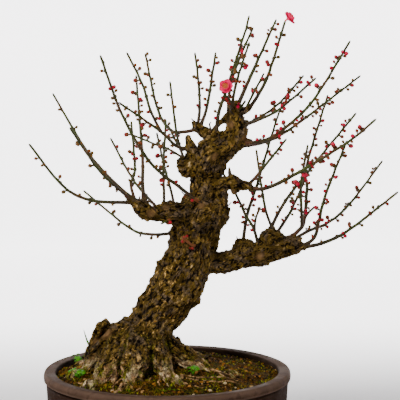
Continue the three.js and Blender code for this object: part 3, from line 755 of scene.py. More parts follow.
# Last summer's shoots, because the wood swells into a collar round the foot of each: the radius at
# its foot, the mean distance between buds, how ripe its buds are from 0 to 1, and the route in mm
SHOOTS = {
    "left_01": (2.4, 21, 0.2, [(-44, -34, 346), (-101, -56, 351), (-137, -70, 372),
                               (-176, -94, 426)]),
    "left_02": (2.2, 20, 0.3, [(18, 2, 302), (-25, 10, 299), (-56, 24, 308), (-122, 60, 357)]),
    "left_03": (2.9, 24, 0.25, [(-51, -32, 354), (-86, -20, 387), (-115, -4, 422),
                                (-160, 20, 495)]),
    "left_04": (1.9, 18, 0.3, [(-50, -38, 352), (-85, -90, 391), (-118, -136, 447)]),
    "left_05": (2.1, 14, 0.55, [(-42, -29, 346), (-49, -20, 370), (-44, -12, 392), (-50, 8, 456)]),
    "left_06": (2.6, 17, 0.5, [(-29, -26, 342), (-33, -20, 370), (-34, -8, 412), (-45, 42, 521)]),
    "left_07": (2.6, 17, 0.5, [(55, -14, 338), (19, -46, 367), (-20, -76, 402), (-54, -114, 464),
                               (-79, -140, 537)]),
    "left_08": (1.9, 17, 0.45, [(-4, -17, 338), (-4, -16, 362), (-5, -8, 396), (-2, 10, 458)]),
    "left_09": (1.9, 15, 0.45, [(10, 0, 339), (4, 10, 364), (-5, 22, 395), (-16, 44, 440)]),
    "left_10": (2.4, 17, 0.5, [(31, -11, 418), (13, -26, 423), (-8, -46, 443), (-60, -84, 480)]),
    "left_11": (2.4, 15, 0.5, [(43, 18, 446), (23, 26, 442), (3, 44, 445), (-16, 66, 476),
                               (-35, 104, 556)]),
    "left_12": (1.8, 20, 0.0, [(24, 2, 402), (18, 6, 420), (12, 8, 446), (4, 6, 511)]),
    "left_13": (1.8, 17, 0.4, [(29, 4, 401), (4, 32, 416), (-19, 62, 424), (-53, 98, 437)]),
    "top_01": (2.2, 17, 0.5, [(42, 22, 450), (45, 38, 476), (43, 62, 516), (38, 86, 556)]),
    "top_02": (2.3, 15, 0.55, [(46, 17, 449), (55, 16, 476), (62, 12, 518), (67, 6, 551)]),
    "top_03": (2.8, 14, 0.75, [(67, -2, 432), (71, -14, 468), (81, -28, 498), (104, -54, 571),
                               (110, -62, 594)]),
    "top_04": (2.1, 14, 0.7, [(88, -6, 466), (92, -30, 497), (98, -58, 522), (109, -90, 557)]),
    "top_05": (2.4, 15, 0.6, [(84, 2, 456), (87, 22, 500), (99, 36, 540), (121, 60, 590)]),
    "top_06": (2.9, 16, 0.6, [(96, 2, 475), (109, 12, 504), (124, 24, 537), (153, 46, 600)]),
    "top_07": (2.5, 14, 0.65, [(112, -5, 473), (124, -18, 491), (138, -36, 521), (157, -70, 587)]),
    "right_01": (2.0, 15, 0.7, [(101, 6, 450), (127, 32, 461), (159, 62, 483), (197, 100, 524)]),
    "right_02": (2.0, 15, 0.75, [(103, -2, 450), (125, -12, 458), (155, -22, 474),
                                 (201, -36, 514)]),
    "right_03": (2.5, 16, 0.7, [(105, 16, 284), (113, 32, 327), (127, 52, 366), (153, 84, 447),
                                (165, 92, 481)]),
    "right_04": (2.6, 15, 0.75, [(100, -7, 425), (137, -32, 432), (169, -56, 456), (197, -78, 488),
                                 (236, -114, 557)]),
    "right_05": (2.4, 15, 0.65, [(97, 5, 421), (137, 24, 428), (178, 46, 449), (281, 104, 524)]),
    "right_06": (2.7, 14, 0.7, [(172, 24, 292), (183, 22, 302), (192, 24, 316), (199, 56, 361),
                                (201, 78, 394), (235, 118, 496)]),
    "right_08": (2.7, 14, 0.9, [(112, -27, 366), (133, -42, 366), (168, -68, 384), (235, -110, 429),
                                (268, -126, 458)]),
    "right_09": (2.4, 15, 0.7, [(141, 10, 300), (159, 12, 336), (185, 16, 372), (265, 32, 468)]),
    "right_10": (2.6, 14, 0.7, [(187, 24, 279), (205, 10, 294), (210, -6, 320), (217, -24, 357),
                                (240, -62, 430)]),
    "right_11": (2.5, 15, 0.55, [(175, 29, 288), (200, 46, 300), (233, 72, 311), (267, 96, 337),
                                 (319, 130, 398)]),
    "right_12": (2.7, 15, 0.6, [(189, 31, 278), (220, 22, 286), (255, 10, 306), (318, -8, 359)]),
    "right_13": (2.1, 15, 0.7, [(111, -20, 369), (122, -22, 381), (137, -24, 400),
                                (163, -20, 432)]),
    "right_14": (2.0, 15, 0.6, [(148, 18, 304), (138, 12, 330), (131, 2, 364), (123, -4, 417)]),
    "right_15": (2.2, 16, 0.6, [(128, 12, 279), (120, 2, 308), (109, 6, 326), (98, 26, 350),
                                (77, 50, 385)]),
    "back_01": (2.3, 17, 0.5, [(52, 34, 336), (28, 72, 392), (-2, 104, 452)]),
    "back_02": (2.4, 16, 0.6, [(78, 24, 414), (104, 66, 462), (140, 118, 528)]),
    "back_03": (2.3, 16, 0.6, [(152, 28, 296), (180, 82, 330), (216, 142, 398)]),
    "back_04": (2.2, 18, 0.3, [(-8, -8, 331), (-50, 62, 372), (-88, 122, 432)]),
    "spur_01": (2.2, 9, 0.6, [(42, -14, 284), (32, -32, 290), (22, -44, 300)]),
    "spur_02": (2.0, 8, 0.8, [(8, -18, 324), (-2, -30, 320), (-7, -38, 318)]),
    "spur_03": (1.9, 8, 0.8, [(92, -3, 478), (86, -10, 485), (80, -15, 492)]),
    "spur_04": (1.9, 8, 0.8, [(98, -4, 472), (103, -15, 478), (107, -22, 484)]),
}
# Side shoots of some of them: how far along its main shoot each starts, then the same values
FORKS = {
    "left_10": [(0.44, 2.0, 14, 0.5, [(-21, -54, 472), (-31, -58, 505), (-51, -62, 546)])],
    "right_06": [(0.1, 2.2, 13, 0.7, [(186, 2, 339), (184, -14, 371), (191, -34, 424)]),
                 (0.16, 1.6, 9, 0.8, [(199, 18, 330), (206, 10, 338)])],
    "right_15": [(0.22, 1.6, 10, 0.6, [(123, -6, 324), (128, -14, 338)])],
}
# Lines that the grain of the bark follows, each station a place and the wood's radius there
GRAIN_LINES = [
    [(-44, -12, 72, 50), (-40, -11, 118, 46), (-20, -6, 175, 32), (10, 0, 222, 34),
     (32, 5, 268, 32), (44, 8, 318, 33), (56, 8, 345, 33), (51, 5, 379, 19), (60, 0, 407, 28),
     (90, -2, 430, 18), (95, 0, 481, 7)],
    [(43, 4, 328, 20), (4, -10, 330, 17), (-23, -22, 331, 10), (-56, -36, 359, 5)],
    [(40, 6, 260, 20), (102, 16, 265, 17), (158, 25, 278, 15), (195, 29, 279, 6)],
    [(59, 0, 364, 17), (103, -24, 371, 8), (117, -28, 366, 5)],
    [(65, 4, 414, 17), (47, 19, 445, 9), (36, 20, 457, 5)],
    [(45, -2, 406, 12), (29, -12, 427, 7), (28, -14, 437, 5)],
    [(-48, -8, 172, 28), (-76, -8, 156, 25), (-108, -16, 113, 12), (-116, -22, 97, 8)],
    [(-58, -24, 150, 24), (-74, -48, 128, 19), (-94, -86, 98, 8)],
    [(-40, -34, 150, 22), (-42, -60, 128, 18), (-48, -98, 98, 7)],
    [(-14, -26, 150, 20), (-6, -50, 127, 15), (10, -84, 98, 7)],
    [(0, -8, 148, 20), (24, -10, 130, 15), (80, -34, 96, 5)],
    [(-10, 18, 148, 20), (10, 42, 126, 15), (34, 74, 98, 6)],
    [(-46, 26, 150, 22), (-56, 56, 128, 16), (-68, 94, 98, 6)],
    [(-74, 14, 150, 22), (-98, 30, 126, 15), (-120, 46, 96, 6)],
]
ROOT_LINES_FROM = 6
GRAIN_SHIFT = 500
# Healed cuts and worn places where smooth pale wood shows: a place and its radius
SCARS = [(-84, -30, 168, 9), (-2, -26, 343, 6), (47, -30, 343, 5), (105, -6, 432, 7),
         (92, -36, 357, 6), (-20, -33, 331, 6), (86, -14, 452, 5), (66, -28, 408, 5),
         (130, 2, 268, 6), (-96, -14, 150, 7)]


def smooth_line(stations, spacing):
    """Points evenly spaced on the smooth curve through stations; other columns go along with it."""
    knots = np.array(stations, float)
    first = 2 * knots[0] - knots[1]
    last = 2 * knots[-1] - knots[-2]
    knots = np.vstack([first, knots, last])
    share = np.linspace(0, 1, SPAN_POINTS, endpoint=False)[:, None]
    spans = []
    for before, start, end, after in zip(knots, knots[1:], knots[2:], knots[3:]):
        bend = 2 * before - 5 * start + 4 * end - after
        twist = 3 * start - before - 3 * end + after
        spans.append(0.5 * (2 * start + (end - before) * share
                            + bend * share ** 2 + twist * share ** 3))
    dense = np.vstack([*spans, knots[-2:-1]])
    steps = np.linalg.norm(np.diff(dense[:, :3], axis=0), axis=1)
    run = np.concatenate([[0.0], np.cumsum(steps)])
    wanted = np.linspace(0, run[-1], max(3, round(run[-1] / spacing) + 1))
    return np.column_stack([np.interp(wanted, run, column) for column in dense.T])


def on_line(line, share):
    """The point a share of the way along a line."""
    place = share * (len(line) - 1)
    first = min(int(place), len(line) - 2)
    return line[first] + (line[first + 1] - line[first]) * (place - first)


def lines_of(name):
    """A shoot's own line and its forks' lines, each with its radius, bud spacing and ripeness."""
    radius, spacing, ripe, route = SHOOTS[name]
    main = smooth_line(route, LINE_STEP)
    lines = [(radius, spacing, ripe, main)]
    for start, fork_radius, fork_spacing, fork_ripe, rest in FORKS.get(name, []):
        foot = tuple(on_line(main, start))
        lines.append((fork_radius, fork_spacing, fork_ripe, smooth_line([foot, *rest], LINE_STEP)))
    return lines


def merged_copy(node, name):
    """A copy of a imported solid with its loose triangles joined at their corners."""
    twin = copy_of(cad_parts[node], name)
    shell = bmesh.new()
    shell.from_mesh(twin.data)
    bmesh.ops.remove_doubles(shell, verts=shell.verts, dist=0.01 * MM)
    shell.to_mesh(twin.data)
    shell.free()
    twin.data.materials.clear()
    return twin


def surface_of(piece):
    """A piece's surface in a form that rays can be cast at."""
    shell = bmesh.new()
    shell.from_mesh(piece.data)
    surface = BVHTree.FromBMesh(shell)
    shell.free()
    return surface


def collar_lines(surface):
    """For each shoot, the stretch that stands in the old wood, thickened to a collar."""
    collars = []
    for name in SHOOTS:
        radius, _, _, line = lines_of(name)[0]
        inside = 1
        while inside < len(line) - 2:
            spot = Vector(line[inside]) * MM + AXIS
            if surface.find_nearest(spot)[3] > (radius + 1.3) * MM:
                break
            inside += 1
        thick = np.linspace(radius + COLLAR_FOOT, radius + COLLAR, inside + 1)
        collars.append(np.column_stack([line[:inside + 1], thick]))
    return collars


def framed(line):
    """Unit vectors along a line, two across it carried along without twist, and the run in mm."""
    along = np.gradient(line[:, :3], axis=0)
    along /= np.linalg.norm(along, axis=1)[:, None]
    run = np.concatenate([[0], np.cumsum(np.linalg.norm(np.diff(line[:, :3], axis=0), axis=1))])
    side = np.cross(along[0], (0.0, 1.0, 0.0))
    sides = []
    for tangent in along:
        side = side - tangent * side.dot(tangent)
        side = side / np.linalg.norm(side)
        sides.append(side)
    return along, np.array(sides), np.cross(along, sides), run


def level(turn):
    """The level direction at a turn round Z."""
    return Vector((math.cos(turn), math.sin(turn), 0))


def spread(number, step=0.618):
    """A share from 0 to 1 for each of a row of things, unlike that of its neighbours."""
    return (step * number) % 1


def strands_on(line, angles, sunk, share, twist):
    """Strands that run along a limb at some angles round it, sunk in it, a share of its radius."""
    _, sides, across, run = framed(line)
    strands = []
    for number, angle in enumerate(angles):
        turn = angle + twist * run / run[-1] + 0.22 * np.sin(run / 14 + 2.1 * number)
        outward = sides * np.cos(turn)[:, None] + across * np.sin(turn)[:, None]
        thick = line[:, 3] * share * (0.85 + 0.3 * spread(number))
        spots = line[:, :3] + outward * (line[:, 3] * sunk)[:, None]
        strands.append(np.column_stack([spots, np.maximum(thick, 2.0)]))
    return strands


def spur_lines(piece, surface):
    """Stumps of dead twigs that stick out of the upper wood."""
    draw = np.random.default_rng(SPUR_SEED)
    upper = []
    for vertex in piece.data.vertices:
        inward = -vertex.normal
        through = surface.ray_cast(vertex.co + inward * MM, inward)[3] or 0
        if vertex.co.z > SPURS_FROM * MM and through > SPUR_WOOD * MM:
            upper.append(vertex)
    spurs = []
    for vertex in draw.choice(len(upper), DEAD_SPURS, replace=False):
        foot = np.array(upper[vertex].co - AXIS) / MM
        aim = np.array(upper[vertex].normal) + draw.normal(0, 0.35, 3)
        reach = draw.uniform(3.0, 8.0) * aim / np.linalg.norm(aim)
        thick = draw.uniform(1.9, 3.2)
        spurs.append(np.array([(*(foot - reach * 0.6), thick + 1), (*foot, thick + 0.4),
                               (*(foot + reach), thick - 0.3)]))
    return spurs


def into_soil(start, aim, thick, reach):
    """Stops and thickness of a root that runs out from a place and dives, inside the pot's wall."""
    stops = []
    # Share of the way, height above the soil in thicknesses, and share of the thickness left
    for share, above, left in ((0.2, 0.5, 0.85), (0.5, 0.0, 0.65), (0.8, -0.6, 0.45),
                               (1.0, -1.6, 0.3)):
        x, y = start[0] + aim[0] * reach * share, start[1] + aim[1] * reach * share
        far = max(1.0, math.hypot(x, y) / (INNER_RADIUS - WALL_GAP))
        x, y = x / far, y / far
        stops.append((x, y, soil_height(x, y) + above * thick, max(1.5, thick * left)))
    return stops


def foot_roots(surface):
    """Old roots that hug the buttress on their way down and part from it at the soil."""
    draw = np.random.default_rng(ROOT_SEED)
    roots = []
    for number in range(FOOT_ROOTS):
        turn = math.tau * (number + draw.uniform(-0.4, 0.4)) / FOOT_ROOTS
        thick = draw.uniform(2.2, 4.4)
        height = draw.uniform(112, 136)
        bend = draw.uniform(-0.035, 0.035)
        reach = draw.uniform(16, 34)
        stops = []
        while height > ROOTS_END:
            out = level(turn)
            far = (Vector((*STEM_FOOT, height)) + out * BUTTRESS_REACH) * MM + AXIS
            hit = surface.ray_cast(far, -out)[0]
            spot = (hit - AXIS) / MM - out * thick * 0.4
            if spot.z < soil_height(spot.x, spot.y) + 1:
                break
            stops.append((*spot, thick))
            height -= FOOT_ROOT_STEP
            turn += bend + draw.uniform(-0.03, 0.03)
        if len(stops) > 2:
            roots.append(smooth_line(stops + into_soil(stops[-1], out, thick, reach), LINE_STEP))
    return roots


def root_forks(root):
    """Two thinner roots that go on from a big one where it enters the soil."""
    ahead = Vector((*(root[-1] - root[-5])[:2], 0)).normalized()
    fork_from = on_line(root, 0.62)
    forks = []
    for turn, share in ((-0.55, 0.5), (0.4, 0.42)):
        aim = Matrix.Rotation(turn, 3, "Z") @ ahead
        thick = fork_from[3] * share
        start = (*(fork_from[:3] + (0, 0, fork_from[3] * 0.35)), thick)
        knee = on_line(root, 0.85)
        knee = (*(knee[:3] + np.array(aim) * 4 + (0, 0, knee[3] * 0.3)), thick * 0.9)
        route = [start, knee] + into_soil(root[-1], aim, thick, FORK_REACH)
        forks.append(smooth_line(route, LINE_STEP))
    return forks


def ramp(value, low, high):
    """0 below low, 1 above high, eased between."""
    share = held((value - low) / (high - low))
    return share * share * (3 - 2 * share)


def drawn_in(spot):
    """A place on the wood in mm, moved in where dead wood has shrunk at the burl and the waist."""
    x, y, z = spot
    # The burl at the left: lower on top, and less far out
    burl_side = ramp(-x, 52, 66)
    top_drop = 0.32 * max(0.0, z - 150) * burl_side * ramp(210 - z, 0, 8)
    x += 0.16 * max(0.0, -x - 60) * ramp(z, 112, 127)
    x -= 5.0 * ramp(x, -20, 5) * math.exp(-((z - 160) / 24) ** 2)
    # The waist, slimmer on both sides
    waist = math.exp(-((z - 297) / 22) ** 2) * ramp(75 - x, 0, 8) * ramp(x + 4, 0, 6)
    x = 38 + (x - 38) * (1 - 0.11 * waist)
    return x, y, z - top_drop


trunk = merged_copy("trunk", "old_wood")
for vertex in trunk.data.vertices:
    vertex.co = Vector(drawn_in(Vector(vertex.co - AXIS) / MM)) * MM + AXIS
trunk_surface = surface_of(trunk)
guides = [smooth_line(line, 4.0) for line in GRAIN_LINES]
stem, roots_of_stem = guides[0], guides[ROOT_LINES_FROM:]
bars = collar_lines(trunk_surface) + spur_lines(trunk, trunk_surface)
lower_stem = stem[(stem[:, 2] > FLUTES_FROM) & (stem[:, 2] < FLUTES_TO)]
bars += strands_on(lower_stem, np.linspace(0, math.tau, FLUTES, endpoint=False), 0.87, 0.2, 0.8)
for root in roots_of_stem:
    _, sides, across, _ = framed(root)
    top_side = math.atan2(across[-1][2], sides[-1][2])
    bars += strands_on(root[6:], top_side + np.linspace(-1.7, 1.7, 6), 0.88, 0.25, 0.35)
    bars += root_forks(root)
bars = lines_piece("bars", bars + foot_roots(trunk_surface))
grow(bars, strand_tree("bar_strands", None), {"Thickness": 1.0, "Sides": 12})
whole = bmesh.new()
whole.from_mesh(trunk.data)
whole.from_mesh(bars.data)
whole.to_mesh(trunk.data)
whole.free()
bpy.data.objects.remove(bars)
remesh = trunk.modifiers.new("even faces", "REMESH")
remesh.mode = "VOXEL"
remesh.voxel_size = TRUNK_VOXEL * MM
relax = trunk.modifiers.new("facets gone", "SMOOTH")
relax.factor = 0.5
relax.iterations = TRUNK_SMOOTHING
make_plain(trunk)

# Each vertex gets its place in the grain, across and along the nearest guide line, and how deep in
# the fold between two guides it lies
trunk_spots = spots_of(trunk)
nearest = np.full(len(trunk_spots), 1e3)
second = np.full(len(trunk_spots), 1e3)
grain_places = np.zeros((len(trunk_spots), 3))
for number, guide in enumerate(guides):
    along, sides, across, run = framed(guide)
    away = np.linalg.norm(trunk_spots[:, None, :] - guide[None, :, :3], axis=2) - guide[None, :, 3]
    found = away.argmin(axis=1)
    away = away.min(axis=1)
    offset = trunk_spots - guide[found, :3]
    place = np.column_stack([(offset * axes[found]).sum(1) for axes in (sides, across, along)])
    place[:, 2] = place[:, 2] + run[found] + GRAIN_SHIFT * number
    closer = away < nearest
    second = np.where(closer, nearest, np.minimum(second, away))
    nearest = np.where(closer, away, nearest)
    grain_places[closer] = place[closer]
give(trunk, "grain", grain_places * MM, "FLOAT_VECTOR")

scar = np.zeros(len(trunk_spots))
for x, y, z, radius in SCARS:
    away = np.linalg.norm(trunk_spots - (x, y, z), axis=1)
    scar = np.maximum(scar, np.clip(1.6 - away / radius, 0, 1))
give(trunk, "scar", scar)
give(trunk, "foot", np.clip((WASHED_BELOW - trunk_spots[:, 2]) / 30, 0, 1))
low = np.clip((FOLDED_BELOW - trunk_spots[:, 2]) / 30, 0, 1)
give(trunk, "fold", np.clip(1 - (second - nearest) / FOLD_WIDTH, 0, 1) * low)

# Thin limbs take less relief than the stem: how far it is through the wood at each vertex
trunk_surface = surface_of(trunk)
stout = []
for vertex in trunk.data.vertices:
    inward = -vertex.normal
    through = trunk_surface.ray_cast(vertex.co + inward * 0.5 * MM, inward)[3]
    stout.append(min(1.0, max(0.15, (through or 0) / MM / STOUT)))
give(trunk, "stout", stout)


def creases(tree, place, scale, width):
    """Noise folded at its middle value: 0 in wandering cracks, rising to 1 between them."""
    level = maths(tree, "SUBTRACT", noise_at(tree, place, scale, 3.0, 0.6), 0.5)
    return eased(tree, maths(tree, "ABSOLUTE", level), 0.0, width)


def bark_tree(material):
    """Raises ridges, chips and warts on the wood along its grain, and keeps them for the paint."""
    tree, given = new_tree("bark_relief", [
        "Chip Width", "Stretch", "Chip Height", "Ridge Height", "Burl Height", "Fold Depth",
        "Sunk"])
    spot = wire(tree, "GeometryNodeInputPosition")
    feeds = {"Vector": spot, "Scale": 60.0, "Detail": 4.0}
    wander = wire(tree, "ShaderNodeTexNoise", feeds, "Color")
    wander = vector_maths(tree, "SUBTRACT", wander, (0.5, 0.5, 0.5))
    wander = vector_maths(tree, "SCALE", wander, 0.016)
    bent = vector_maths(tree, "ADD", read(tree, "grain", "FLOAT_VECTOR"), wander)
    squeeze = wire(tree, "ShaderNodeCombineXYZ",
                   (1.0, 1.0, maths(tree, "DIVIDE", 1.0, given["Stretch"])))
    long_way = vector_maths(tree, "MULTIPLY", bent, squeeze)
    per_metre = maths(tree, "DIVIDE", 1.0, given["Chip Width"])

    broad = creases(tree, long_way, times(tree, per_metre, 0.55), 0.13)
    small = creases(tree, long_way, times(tree, per_metre, 1.25), 0.15)
    rough = noise_at(tree, bent, times(tree, per_metre, 2.2), 4.0, 0.75)
    chips = times(tree, maths(tree, "ADD", times(tree, broad, 0.55), 0.45), small,
                  maths(tree, "ADD", rough, 0.5))
    ridges = wire(tree, "ShaderNodeTexNoise", {
        "Vector": long_way, "Scale": times(tree, per_metre, 0.3), "Detail": 3.0,
        "Roughness": 0.6, "Offset": 1.0, "Gain": 1.2}, noise_type="RIDGED_MULTIFRACTAL")
    ridge = eased(tree, ridges, 0.6, 2.4)
    burls = eased(tree, noise_at(tree, spot, 36.0, 2.0), 0.35, 0.7)
    warts = eased(tree, noise_at(tree, spot, 105.0, 2.0), 0.46, 0.72)
    healed = maths(tree, "SUBTRACT", 1.0, times(tree, read(tree, "scar"), 0.85))

    height = times(tree, chips, given["Chip Height"])
    height = maths(tree, "ADD", height, times(tree, ridge, given["Ridge Height"]))
    height = times(tree, height, healed)
    for bumps, size in ((burls, "Burl Height"), (warts, "Chip Height")):
        height = maths(tree, "ADD", height, times(tree, bumps, given[size]))
    sunk = times(tree, read(tree, "fold"), given["Fold Depth"])
    height = maths(tree, "SUBTRACT", maths(tree, "SUBTRACT", height, sunk), given["Sunk"])
    height = times(tree, height, read(tree, "stout"))
    kept = keep(tree, given["Geometry"], "relief", times(tree, chips, healed))
    kept = keep(tree, kept, "ridge", maths(tree, "ADD", times(tree, ridge, 0.6), warts))
    offset = vector_maths(tree, "SCALE", wire(tree, "GeometryNodeInputNormal"), height)
    raised = wire(tree, "GeometryNodeSetPosition", {"Geometry": kept, "Offset": offset})
    return finish_tree(tree, raised, material)


def bark_material():
    """Old bark: olive brown on its chips, ochre where they have flaked, and painted shade in its
    cracks.
    """
    material, tree, place = new_material("old_bark", 0.8, 0.04)
    relief, ridge = stored(tree, "relief"), stored(tree, "ridge")
    fold, foot, scar = stored(tree, "fold"), stored(tree, "foot"), stored(tree, "scar")
    grain_place = wire(tree, "ShaderNodeAttribute", out="Vector", attribute_name="grain")
    along = vector_maths(tree, "MULTIPLY", grain_place, (1.0, 1.0, 0.34))
    chip = mottled(tree, along, 130.0, paint(98, 76, 26), paint(128, 102, 46), paint(52, 36, 12))
    # Painted highlight: the tops of the chips and ridges are lightened to pale tan
    ridge_highlight = times(tree, eased(tree, relief, 0.55, 1.0), eased(tree, ridge, 0.3, 0.9, 0.2, 0.7))
    chip = mixed(tree, ridge_highlight, chip, paint(216, 184, 130))
    flecks = times(tree, eased(tree, noise_at(tree, along, 240.0, 3.0, 0.7), 0.55, 0.62),
                   eased(tree, noise_at(tree, place, 17.0, 2.0), 0.42, 0.58, 0.2, 1.0),
                   eased(tree, relief, 0.15, 0.4),
                   eased(tree, height_of(tree, place), 0.2, 0.33, 1.0, 0.5))
    chip = mixed(tree, flecks, chip, paint(244, 194, 114))
    grey = eased(tree, noise_at(tree, place, 70.0, 5.0, 0.7), 0.5, 0.6, 0.0, 0.7)
    chip = mixed(tree, grey, chip, paint(112, 96, 80))
    orange = eased(tree, noise_at(tree, place, 120.0, 4.0, 0.6), 0.66, 0.74, 0.0, 0.8)
    chip = mixed(tree, orange, chip, paint(158, 88, 26))
    washed = times(tree, eased(tree, noise_at(tree, along, 70.0, 5.0, 0.65), 0.45, 0.53),
                   eased(tree, foot, 0.0, 0.75), maths(tree, "SUBTRACT", 1.0, fold))
    pale = mottled(tree, along, 90.0, paint(250, 196, 140), paint(255, 228, 180),
                   paint(176, 110, 62))
    chip = mixed(tree, washed, chip, pale)
    facing = height_of(tree, wire(tree, "ShaderNodeNewGeometry", out="Normal"))
    mossy = times(tree, eased(tree, noise_at(tree, place, 85.0, 5.0, 0.65), 0.45, 0.53),
                  maths(tree, "ADD", foot, fold), eased(tree, facing, -0.4, 0.3),
                  eased(tree, washed, 0.0, 1.0, 1.0, 0.6))
    green = mottled(tree, place, 200.0, paint(96, 104, 14), paint(164, 162, 38), paint(44, 46, 6))
    chip = mixed(tree, mossy, chip, green)
    chip = mixed(tree, times(tree, scar, 0.55), chip, paint(164, 124, 84))
    fine_cracks = creases(tree, along, 420.0, 0.1)
    # Painted shade, near black, in the cracks, between the ridges and in the folds between roots
    cracks = times(tree, eased(tree, relief, 0.03, 0.19),
                   maths(tree, "ADD", times(tree, fine_cracks, 0.55), 0.45),
                   eased(tree, ridge, 0.0, 0.5, 0.6, 1.0), eased(tree, fold, 0.2, 1.0, 1.0, 0.4))
    cracks = maths(tree, "MAXIMUM", cracks, times(tree, washed, 0.3))
    cracks = maths(tree, "MAXIMUM", cracks, times(tree, scar, 0.75))
    fine = maths(tree, "ADD", grain_height(tree, along, 480.0, 0.4), fine_cracks)
    return painted(material, mixed(tree, cracks, paint(6, 3, 1), chip), fine, 1.1)


grow(trunk, bark_tree(bark_material()), {
    "Chip Width": 6.5 * MM, "Stretch": 2.8, "Chip Height": 1.9 * MM, "Ridge Height": 3.6 * MM,
    "Burl Height": 3.2 * MM, "Fold Depth": 3.0 * MM, "Sunk": 3.8 * MM})
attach(trunk, "root")
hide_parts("trunk")


# Surface roots
# Thin pale feeding roots that run out over the soil from the buttress and dive under it again.
# They are wood of the same tree, worn smooth where water has washed the soil off them.
ROOT_SHAKE_SEED = 7
# Radius, and stops on the soil with the height of each above it
ROOTLETS = [
    (1.9, [(12, -66, 2), (34, -72, 0.4), (58, -80, 0.2), (84, -76, 0.3), (108, -84, -3)]),
    (1.5, [(20, -58, 2), (40, -60, 1.0), (62, -64, 0.3), (78, -60, 0.2), (92, -50, -3)]),
    (1.3, [(12, -56, 0.5), (22, -86, 0.4), (44, -104, 0.2), (64, -106, -3)]),
    (1.5, [(-6, -60, 0.5), (-9, -92, 0.4), (-2, -114, 0.2), (-6, -128, -3)]),
    (1.2, [(-20, -64, 0.5), (-25, -96, 0.4), (-36, -116, 0.2), (-38, -128, -3)]),
    (1.4, [(-60, -70, 0.5), (-68, -98, 0.4), (-66, -118, 0.2), (-72, -130, -3)]),
    (1.3, [(-100, -66, 2), (-112, -74, 1.0), (-120, -70, 0.2), (-132, -66, -3)]),
    (1.5, [(62, -30, 3), (84, -44, 0.8), (104, -40, 0.3), (122, -46, -3)]),
    (1.1, [(70, -34, 2), (78, -56, 0.5), (98, -66, 0.2), (110, -62, -3)]),
    (1.4, [(30, 70, 2), (48, 92, 0.5), (60, 112, -3)]),
    (1.3, [(-64, 96, 2), (-60, 114, 0.5), (-72, 128, -3)]),
    (1.2, [(36, 60, 2), (64, 70, 0.5), (92, 66, -3)]),
    (1.2, [(-120, 40, 2), (-132, 52, 1.0), (-138, 50, -3)]),
]
# Fibrous roots that hang down the front of the buttress, and the width in mm that they cover
HANGING_ROOTS = 26
HANGING_FROM, HANGING_WIDTH = -92, 112


def on_soil(x, y, above):
    return (x, y, soil_height(x, y) + crumbs(x, y) + above)


noise.seed_set(ROOT_SHAKE_SEED)
root_lines = []
for radius, route in ROOTLETS:
    line = smooth_line([on_soil(*stop) for stop in route], 2.2)
    share = np.linspace(0, 1, len(line))
    wave = np.array([noise.noise_vector(Vector(spot) / 9)
                     + 0.6 * noise.noise_vector(Vector(spot) / 4) for spot in line])
    line = line + wave * (2.2, 2.2, 0.25)
    for spot in line[len(line) // 4:]:
        spot[2] = min(spot[2], on_soil(spot[0], spot[1], 0.9)[2])
    root_lines.append(np.column_stack([line, radius * (1 - 0.6 * share)]))

bark_surface = surface_of(trunk)
draw = np.random.default_rng(ROOT_SHAKE_SEED)
for number in range(HANGING_ROOTS):
    x = HANGING_FROM + HANGING_WIDTH * (number + draw.uniform(-0.4, 0.4)) / HANGING_ROOTS
    start = Vector((x * MM + POT_X, -0.2, 0))
    height = 112 + 18 * draw.random()
    drift = draw.uniform(-1.6, 1.6)
    drop = []
    while height > 101:
        start.z = height * MM
        start.x += (drift + draw.uniform(-1.5, 1.5)) * MM
        hit = bark_surface.ray_cast(start, Vector((0, 1, 0)))[0]
        if hit is None or (drop and abs(hit.y / MM - drop[-1][1]) > 5):
            break
        drop.append(((hit.x - POT_X) / MM, hit.y / MM - 0.1, height))
        height -= 2.6
    if len(drop) > 3:
        line = smooth_line(drop, 2.0)
        share = np.linspace(0, 1, len(line))
        root_lines.append(np.column_stack([line, draw.uniform(0.3, 0.75) * (1 - 0.6 * share)]))


def root_material():
    """Washed root bark, pale tan with darker rings and soil in its dips."""
    material, tree, place = new_material("washed_root", 0.8, 0.1)
    colour = mottled(tree, place, 130.0, paint(176, 136, 90), paint(104, 74, 42),
                     paint(228, 188, 138))
    dirt = eased(tree, noise_at(tree, place, 90.0, 4.0), 0.44, 0.58, 0.0, 0.9)
    colour = mixed(tree, dirt, colour, paint(52, 38, 18))
    return painted(material, colour, grain_height(tree, place, 600.0), 0.4)


roots = lines_piece("surface_roots", root_lines)
grow(roots, strand_tree("root_strands", root_material()), {"Thickness": 1.0, "Sides": 7})
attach(roots, "root")


# Moss
# Short cushions of moss and liverwort, olive and yellow green, on the damp soil and in the folds of
# the lowest bark. It has grown there by itself.
MOSS_SEED = 4
MOSS_TIPS = 6
MOSS_TOP = 144


def moss_sprig(name, seed, spread):
    """A tuft of short pointed leaves, one unit tall."""
    draw = np.random.default_rng(seed)
    points, faces = [], []
    for tip in range(MOSS_TIPS):
        turn = math.tau * (tip + draw.uniform(0, 0.5)) / MOSS_TIPS
        lean = spread * draw.uniform(0.5, 1.0) if tip else 0
        out = level(turn)
        first = len(points)
        for corner in range(3):
            points.append(out * lean * 0.25 + level(turn + math.tau * corner / 3) * 0.2)
        points.append(out * lean + Vector((0, 0, draw.uniform(0.6, 1.0))))
        faces += [(first, first + 1, first + 3), (first + 1, first + 2, first + 3),
                  (first + 2, first, first + 3), (first + 2, first + 1, first)]
    return plain_shape(name, points, faces)


def spun(tree, facing, seed):
    """A rotation with a random turn about its own upright."""
    spin = wire(tree, "FunctionNodeAxisAngleToRotation",
                {"Axis": (0.0, 0.0, 1.0), "Angle": random_value(tree, 0.0, math.tau, seed)})
    return wire(tree, "FunctionNodeRotateRotation", (facing, spin), rotation_space="LOCAL")


def upright(tree, given, facing, number):
    """A tuft that stands on its surface, about as tall as the rest."""
    return (spun(tree, facing, 41 + number),
            times(tree, given["Height"], random_value(tree, 0.6, 1.25, 51 + number)))


